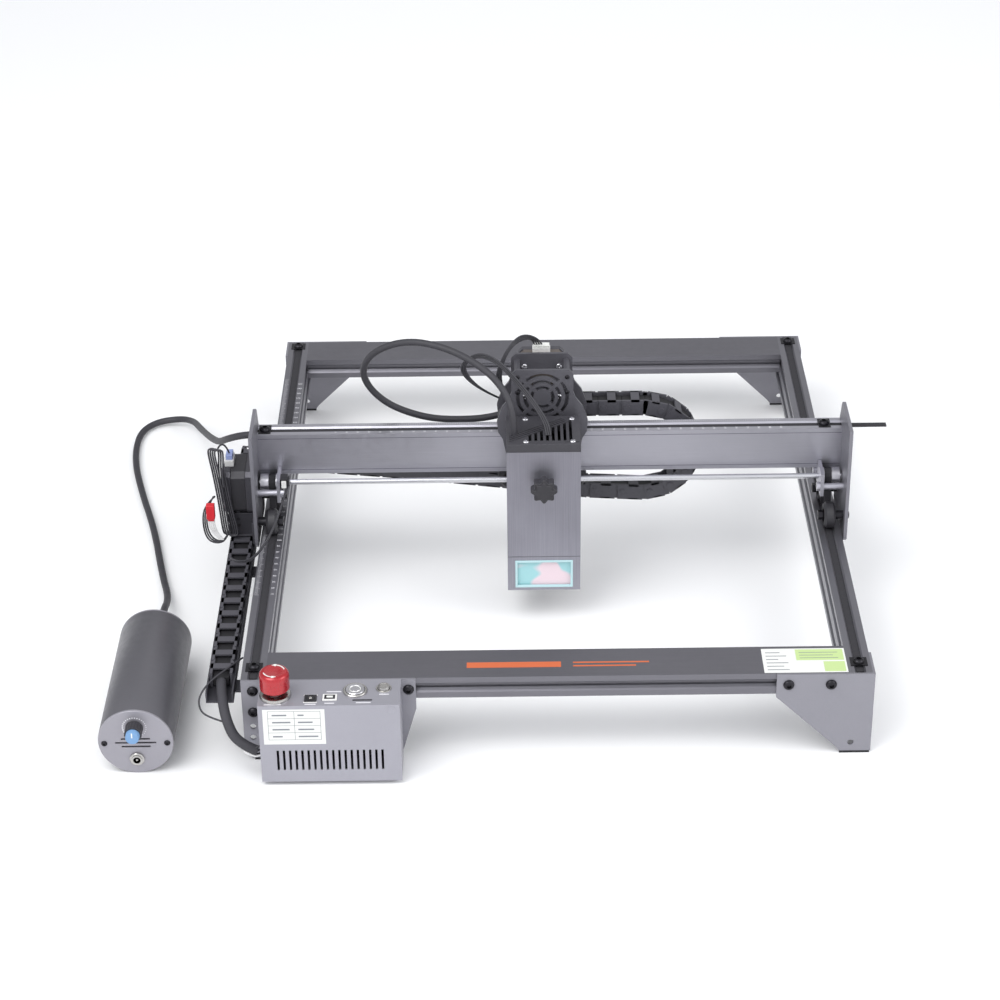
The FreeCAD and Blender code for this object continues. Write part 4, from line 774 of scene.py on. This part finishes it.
def carve(made, shapes):
    """Cuts shapes out of a piece for good."""
    cutter = piece("cutter", shapes, cap_black, None, 0, False, ride=False)
    cut = made.modifiers.new("cut", "BOOLEAN")
    cut.object = cutter
    cut.solver = "EXACT"
    made.modifiers.move(len(made.modifiers) - 1, 0)
    seen = made.evaluated_get(bpy.context.evaluated_depsgraph_get())
    mesh = bpy.data.meshes.new_from_object(seen)
    made.modifiers.clear()
    made.data = mesh
    bpy.data.objects.remove(cutter)


head_left, head_right = -39, 26
head_face = -102  # front of the head's cover
cap_top = 183.4
cap = piece("head_cap_moulding", [brick(head_left, head_face, 175.6, head_right, -50, cap_top)], cap_black,
            "laser_head", 0.8, False, stands_for=("head_cap",))
slot_pitch, slot_wide = 5.1, 2.5
slots = []
for i in range(8):
    x = -19.5 + slot_pitch * i
    slots.append(brick(x, -95, 174, x + slot_wide, -82 + 3.4 * i, 185))
carve(cap, slots)
ribs = []
rib_foot = cap_top - 0.2
for shift in (0, 3.2, 6.4, 9.6):
    x0, y0, x1, y1 = -36, -97 + shift, 15 - shift * 0.4, -62.5 + shift * 0.72
    dx, dy = (y1 - y0) * 0.011, -(x1 - x0) * 0.011
    rib = [(x0, y0), (x1, y1), (x1 - dx, y1 - dy), (x0 - dx, y0 - dy)]
    ribs.append(prism(rib, "z", rib_foot, cap_top + 1.2))
ribs.append(brick(12, -98, rib_foot, 25, -97.4, cap_top + 0.8))
piece("head_cap_ribs", ribs, cap_black, "laser_head", 0.15)
screws = [button_screw(x, y, cap_top, "z", 1, 2.9, 1.5) for x in (-22, 19) for y in (-56, -97)]
piece("head_cap_screws", screws, screw_bright, "laser_head", 0, stands_for=("head_screws",))

# The shield's window: a pane of acrylic behind a pale rubber frame. The pane's film turns laser light
# away and shows pink in one part and teal in another.
film = finish("window_film", "#e6d3da", 0.12, grain=60, relief=0.02, drift=0.03)
tree = film.node_tree
where = add(tree, "TexCoord").outputs["Object"]
patch = add(tree, "TexNoise", Vector=where, Scale=38.0, Detail=1.0).outputs["Fac"]
step = add(tree, "MapRange", Value=patch, From_Min=0.47, From_Max=0.53).outputs["Result"]
tint = add(tree, "MixRGB", Fac=step, Color1=linear("#e0ccd3"), Color2=linear("#9ccbcf")).outputs["Color"]
tree.links.new(tint, tree.nodes["Principled BSDF"].inputs["Base Color"])
dress("head_window", film)
left, right, low, high, strip = -32.2, 19.2, 37, 65, 2
front, back = head_face - 0.6, head_face + 1.4
border = [brick(left, front, z, right, back, z + strip) for z in (high - strip, low)]
for x in (left, right - strip):
    border.append(brick(x, front, low + 1.6, x + strip, back, high - 1.6))
piece("window_border", border, finish("border_cyan", "#b3d2d6", 0.4, drift=0.02), "laser_head",
      0.3)
piece("cover_seam", [brick(head_left + 0.1, -102.15, 68.7, head_right - 0.1, -101.9, 69.2)],
      finish("seam_dark", "#55545b", 0.5), "laser_head", 0, False)

# Star knob that clamps the head's height: eight soft lobes of moulded plastic, with a raised face and
# a collar, on a bright stud.
knob_black = finish("knob_black", "#2f2e32", 0.42, grain=1100, relief=0.2)
knob_z, lobe_middle, lobe_deep, lobes, lobe_steps = 145, 10.4, 1.35, 8, 96


def lobed(share):
    """The knob's outline, times a share of its size."""
    outline = []
    for i in range(lobe_steps):
        a = 2 * math.pi * i / lobe_steps
        r = (lobe_middle + lobe_deep * math.cos(lobes * a)) * share
        outline.append((head_x + r * math.cos(a), knob_z + r * math.sin(a)))
    return outline


knob_middle = (head_x, 0, knob_z)
star = [prism(lobed(1), "y", -119, -109), prism(lobed(0.82), "y", -120, -108)]
piece("star_knob", star, knob_black, "clamp_knob", 0.8, stands_for=("clamp_knob",))
collar = [(6.5, -108.2), (6, -104), (5.6, -102.4), (2.5, -102.4)]
piece("star_knob_collar", [turn(collar, "y", knob_middle)], knob_black, "clamp_knob", 0.2)
piece("star_knob_stud", [rod(-103, -99, 2.45, "y", knob_middle)], screw_bright, "clamp_knob",
      0)

# ---------------------------------------------------------------------------
# Air pump. A tube of painted aluminium lies on the table with lighter end plates. Its front has slots,
# a power jack and a knob for the flow, with a dial of dots. The hose leaves at the rear.
pump_grey = finish("pump_grey", "#636267", 0.4, 0.45, grain=1500, relief=0.14, drift=0.05)
pump_face_paint = finish("pump_face", "#97959c", 0.4, 0.5, grain=1500, relief=0.14, drift=0.05)
pump_x, pump_z = -347.8, 31.2
pump_middle = (pump_x, 0, pump_z)
pump_face_y = -324.7
case_line = [(29.5, -322.6), (31.0, -322.6), (31.2, -322.2), (31.2, -173.2), (31.0, -172.8), (29.5, -172.8),
             (29.5, -322.6)]
piece("pump_case", [turn(case_line, "y", pump_middle, 96)], pump_grey, "frame", 0,
      stands_for=("pump_body",))
face_line = [(30.6, pump_face_y), (31.1, -324.3), (31.1, -322.7)]
face = piece("pump_face_plate", [turn(face_line, "y", pump_middle, 96)], pump_face_paint, "frame",
             0, False, stands_for=("pump_end_plates",))
slots = []
for z, wide in ((33.4, 24), (29.6, 34), (25.8, 24)):
    slots.append(brick(pump_x - wide / 2, -326, z, pump_x + wide / 2, -321, z + 1.6))
carve(face, slots)
# Black plate just behind the face's slots: painted shade inside the pump.
piece("pump_slot_painted_shade", [brick(-366, -321.8, 24, -329, -321.4, 37)], socket_black_and_shade, "frame",
      0, False)
rear_line = [(31.1, -172.7), (31.1, -171.1), (30.6, -170.7), (6, -170.7), (5, -168.6), (2.2, -168),
             (2, -162.4)]
piece("pump_rear_face", [turn(rear_line, "y", pump_middle, 64)], pump_face_paint, "frame",
      0)
dress("pump_motor", motor_black)
piece("pump_screws", [button_screw(pump_x + x, pump_face_y, 30, "y", -1, 2.6, 1.4) for x in (-26, 26)],
      screw_black, "frame", 0, stands_for=("pump_jack",))
jack_middle = (pump_x, 0, 14.5)
jack_bore = 3.1
jack = [(jack_bore, pump_face_y), (6.15, pump_face_y), (6.15, -326.3), (5.6, -326.8), (4.4, -326.8),
        (4.4, -327.6), (jack_bore, -327.6), (jack_bore, pump_face_y)]
piece("pump_jack_nut", [turn(jack, "y", jack_middle)], chrome, "frame", 0)
piece("pump_jack_hole", [turn([(jack_bore, -325.2), (0.01, -325.2)], "y", jack_middle, 24)], socket_black_and_shade,
      "frame", 0)
piece("pump_jack_pin", [turn([(0.9, -325.1), (0.9, -327.0), (0.01, -327.3)], "y", jack_middle, 16)], chrome,
      "frame", 0)
dial_z, dial_radius, dial_dots = 45.5, 9.7, 26
dial_middle = (pump_x, 0, dial_z)
dots = []
for i in range(dial_dots):
    a = math.radians(-60 + 300 * i / (dial_dots - 1))
    dot_radius = 0.35 + 0.02 * i
    spot = (pump_x + dial_radius * math.cos(a), 0, dial_z + dial_radius * math.sin(a))
    dots.append(turn([(dot_radius, -324.75), (dot_radius, -324.72)], "y", spot, 8))
piece("pump_dial_marks", dots, etched, "frame", 0)
grip = []
grip_steps = 72
for i in range(grip_steps):
    a = 2 * math.pi * i / grip_steps
    r = 6.9 + (0.35 if i % 4 < 2 else 0)
    grip.append((pump_x + r * math.cos(a), dial_z + r * math.sin(a)))
skirt = turn([(7.4, -325.3), (7.4, -326.4), (6, -327)], "y", dial_middle)
piece("pump_dial_grip", [prism(grip, "y", -335.5, -326.2), skirt], knob_black, "pump_knob",
      0.2, stands_for=("pump_knob",))
dial_cap = [(5.9, -335.4), (5.7, -339.8), (5.1, -340.6), (0.01, -340.7)]
piece("pump_dial_cap", [turn(dial_cap, "y", dial_middle)], finish("dial_blue", "#6e94bd", 0.35, drift=0.03),
      "pump_knob", 0)
piece("pump_dial_pointer", [brick(pump_x - 0.5, -340.9, 46.5, pump_x + 0.5, -340.6, 51)], label_white,
      "pump_knob", 0)

# ---------------------------------------------------------------------------
# Hoses and cables. Each is a smooth line from the place where it leaves a piece to where it ends. The
# hoses are black rubber, a dull surface with fine pits. The leads are stranded wire in smooth PVC.
hose_rubber = finish("hose_rubber", "#323136", 0.55, grain=700, relief=0.1, drift=0.1)
wire_black = finish("wire_black", "#333237", 0.5, grain=900, relief=0.05)
wire_white = finish("wire_white", "#d9d8d8", 0.5, grain=900, relief=0.05)
shortest_cord = 0.031


def route(name, points):
    """A smooth curve whose control points are these."""
    curve = bpy.data.curves.new(name, "CURVE")
    curve.dimensions = "3D"
    curve.resolution_u = 10
    line = curve.splines.new("NURBS")
    line.points.add(len(points) - 1)
    for spot, point in zip(line.points, points):
        spot.co = (*place(*point), 1)
    line.order_u = 3
    line.use_endpoint_u = True
    made = bpy.data.objects.new(name, curve)
    bpy.context.scene.collection.objects.link(made)
    return made


def as_mesh(made):
    """What a curve looks like now, as a mesh."""
    bpy.context.view_layer.update()
    return bpy.data.meshes.new_from_object(made.evaluated_get(bpy.context.evaluated_depsgraph_get()))


def cable(name, points, radius, look, body, node=None,
          bend=None):
    """A cord on one body, or, when bend is given, one baked where it lies and carried by no body.

    One that is shorter than shortest_cord is only a stub, and its CAD node stays shown."""
    made = route(name, points)
    thread = as_mesh(made)
    line = [v.co.copy() for v in thread.vertices]
    bpy.data.meshes.remove(thread)
    length = sum((b - a).length for a, b in zip(line, line[1:]))
    made.data.bevel_depth = radius * 0.001
    made.data.bevel_resolution = 4
    made.data.use_fill_caps = True
    made.data.materials.append(look)
    if bend:
        mesh = as_mesh(made)
        bpy.data.objects.remove(made)
        made = bpy.data.objects.new(name, mesh)
        bpy.context.scene.collection.objects.link(made)
        mesh.polygons.foreach_set("use_smooth", [True] * len(mesh.polygons))
        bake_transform(made)
    else:
        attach(made, body)
    if length < shortest_cord:
        return
    if node:
        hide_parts(node)


# The air hose leaves the pump's rear, lies along the table, turns back behind the machine and rises
# to the gantry's left end.
cable("air_hose", [(-347.8, -162, 31.2), (-347.8, -120, 27), (-349, -70, 9), (-360, -25, 5), (-377, 60, 5),
                   (-397, 130, 5), (-412, 195, 5), (-414, 250, 5), (-400, 275, 5), (-373, 277, 8),
                   (-357, 254, 17), (-345, 205, 36), (-330, 140, 64), (-317, 85, 89), (-306, 42, 110),
                   (-296, 15, 128), (-280, 0, 140), (-262, -4, 143), (-247, -8, 144)],
      3.25, hose_rubber, "frame", "pump_hose",
      bend=("frame", "gantry", (-300, 0, 36), (-300, 0, 142)))
# The head's hose comes out of the cable chain behind the gantry and loops over to the head.
cable("head_loop", [(-20.8, 10, 162), (-46, 7, 152), (-85, 6, 150), (-116, 5, 154), (-150, 0, 172),
                    (-169, -8, 203), (-160, -17, 231), (-127, -29, 250), (-90, -45, 250), (-56, -60, 236),
                    (-38, -72, 218), (-32.3, -83.3, 201), (-32, -84, 184.1)],
      3.1, hose_rubber, "carriage", "head_hose",
      bend=("carriage", "laser_head", (-90, 0, 200), (-90, -80, 200)))
# The sleeve carries the chain's cables to the box, and the bare leads go in at its side. It is
# braided nylon, rough and broken in colour.
braided = finish("braided_sleeve", "#3a393e", 0.75, grain=2600, relief=0.5, drift=0.3)
cable("box_sleeve", [(-278.5, -286, 64), (-276.5, -305, 63), (-272, -323, 50), (-263, -332, 34),
                     (-247, -333, 27)],
      4.3, braided, "frame", node="cable_sleeve")
for i, (dy, dz) in enumerate(((-2, 4), (0, 0.5), (2, -3), (-3, -2))):
    look = wire_black if i < 3 else wire_white
    cable(f"box_lead_{i}", [(-258, -332 + dy, 30 + dz), (-250, -333 + dy, 25 + dz),
                            (-244, -332 + dy, 27 + dz * 1.6), (-236, -331 + dy, 29 + dz * 1.8)],
          0.9, look, "frame")

# The long-axis motor's lead is doubled up in a slim hank beside the motor. Each turn goes round a
# small bend at the top and one at the bottom, and lies a little to the right of the last.
fold_radius = 4.6
top_bend, bottom_bend = (-299.5, 160, 22.5), (-291, 80, 202.5)
loops = [(-287, -45, 146), (-289, -52, 159), (-293, -62, 165)]


def small_bend(middle_x, middle_z, first, lie, y):
    """Half a turn of the hank, in four steps of 45 degrees."""
    spots = []
    for quarter in range(4):
        a = math.radians(first + 45 * quarter)
        spots.append((middle_x + lie + fold_radius * math.cos(a), y, middle_z + fold_radius * math.sin(a)))
    return spots


for turn_no in range(4):
    lie, y = 2.0 * turn_no, -68 - 0.9 * turn_no
    loops += small_bend(*top_bend, lie, y)
    loops += [(-300.4 + lie, y, 140), (-296.8 + lie, y, 106)]
    loops += small_bend(*bottom_bend, lie, y)
    loops += [(-291.8 + lie, y, 106), (-295.4 + lie, y, 140)]
loops += [(-292, -72, 150), (-291, -73, 128)]
cable("motor_hank", loops, 0.8, wire_black, "gantry", node="motor_cable")
# Loose leads lie side by side, apart by a little more than their own thickness.
apart = 1.7
for i in range(3):
    s = i * apart
    cable(f"hank_lead_{i}", [(-302 + s * 0.4, -62, 112), (-307 - s, -64, 104), (-310 - s, -66, 88),
                             (-307 - s, -68, 74 - s), (-299 - s * 0.5, -70, 69 - s * 0.6),
                             (-292, -70, 73 - s * 0.5), (-289, -69, 82)],
          0.75, wire_black, "gantry")
for i in range(4):
    s = i * apart
    cable(f"white_lead_{i}", [(-307 + s, -70, 95), (-307.5 + s, -71, 88), (-304 + s * 0.9, -71, 78),
                              (-298 + s * 0.6, -71, 72)],
          0.7, wire_white, "gantry")
# Two thin leads run from the homing switch, over the rail and down beside the chain. Another leaves
# the rail's front end and joins the sleeve.
for i in range(2):
    s = i * 1.6
    cable(f"switch_lead_{i}", [(-236 + s, -57, 120), (-238, -72, 116 - s), (-247, -100, 98 - s),
                               (-262, -128, 86 - s), (-276, -150, 96.5 - s), (-281, -140, 95.4 - s * 0.1)],
          0.7, wire_black, "gantry")
cable("rail_lead", [(-262, -262, 71.5), (-272, -276, 72), (-287, -296, 71), (-296, -306, 62),
                    (-294, -314, 53), (-284, -319, 50), (-273, -322, 48)],
      0.8, wire_black, "frame")
# Flat three-core lead of the laser module, and the four leads of the cross-axis motor.
for i in range(3):
    s = i * 1.8
    cable(f"module_lead_{i}", [(-38, 0, 172), (-56, -18, 190), (-72 - s, -25, 209), (-76 - s, -31, 226),
                               (-63, -38, 238 + s), (-46, -48, 236 + s), (-30 + s * 0.4, -60, 222 + s),
                               (-14 + s, -74, 206), (-4 + s, -82, 190), (-4 + s, -86, 183.6)],
          0.9, wire_black, "carriage",
          bend=("carriage", "laser_head", (0, -38, 200), (0, -72, 200)))
for i in range(4):
    s = i * apart
    cable(f"cross_motor_lead_{i}", [(-12 + i * 2.4, 9, 221), (-13 + i * 2, 6, 231), (-22, -6, 238 + s),
                                    (-33, -22, 239 + s * 0.8), (-41 - s * 0.5, -27, 226),
                                    (-44 - s, -18, 200), (-38, 0, 176)],
          0.75, wire_black, "carriage")

# ---------------------------------------------------------------------------
# Floor and light. A plain white sheet under the machine, and a studio that is brighter in front than
# behind, so upper faces stay darker than the ones that face the viewer.
floor_white = bpy.data.materials.new("floor_white")
floor_white.use_nodes = True
paper = floor_white.node_tree.nodes["Principled BSDF"]
paper.inputs["Base Color"].default_value = linear("#f7f7f7")
paper.inputs["Roughness"].default_value = 0.8
reach = 6
ground = bpy.data.meshes.new("ground")
ground.from_pydata([(-reach, -reach, 0), (reach, -reach, 0), (reach, reach, 0), (-reach, reach, 0)], [],
                   [(0, 1, 2, 3)])
ground.materials.append(floor_white)
ground_piece = bpy.data.objects.new("ground", ground)
bpy.context.scene.collection.objects.link(ground_piece)

world = bpy.data.worlds.new("studio")
bpy.context.scene.world = world
world.use_nodes = True
sky = world.node_tree.nodes["Background"]
sky.inputs["Color"].default_value = linear("#f4f6fa")
heading = add(world.node_tree, "SeparateXYZ", Vector=add(world.node_tree, "TexCoord").outputs["Generated"])
shade = add(world.node_tree, "MapRange", Value=heading.outputs["Y"], From_Min=-0.5, From_Max=0.8,
            To_Min=1.25, To_Max=0.4)
world.node_tree.links.new(shade.outputs["Result"], sky.inputs["Strength"])
bpy.context.scene.view_settings.view_transform = "Standard"
lit_middle = Vector((0, 0, 0.08))
lamps = (("key", (-0.9, -1.0, 1.8), 26, 1.4), ("fill", (1.5, -0.6, 1.2), 12, 1.2),
         ("back", (0.2, 1.8, 1.5), 3, 1.6))
for name, spot, power, wide in lamps:
    lamp = bpy.data.lights.new(name, "AREA")
    lamp.energy = power
    lamp.size = wide
    shone = bpy.data.objects.new(name, lamp)
    bpy.context.scene.collection.objects.link(shone)
    shone.location = spot
    shone.rotation_euler = (lit_middle - Vector(spot)).to_track_quat("-Z", "Y").to_euler()
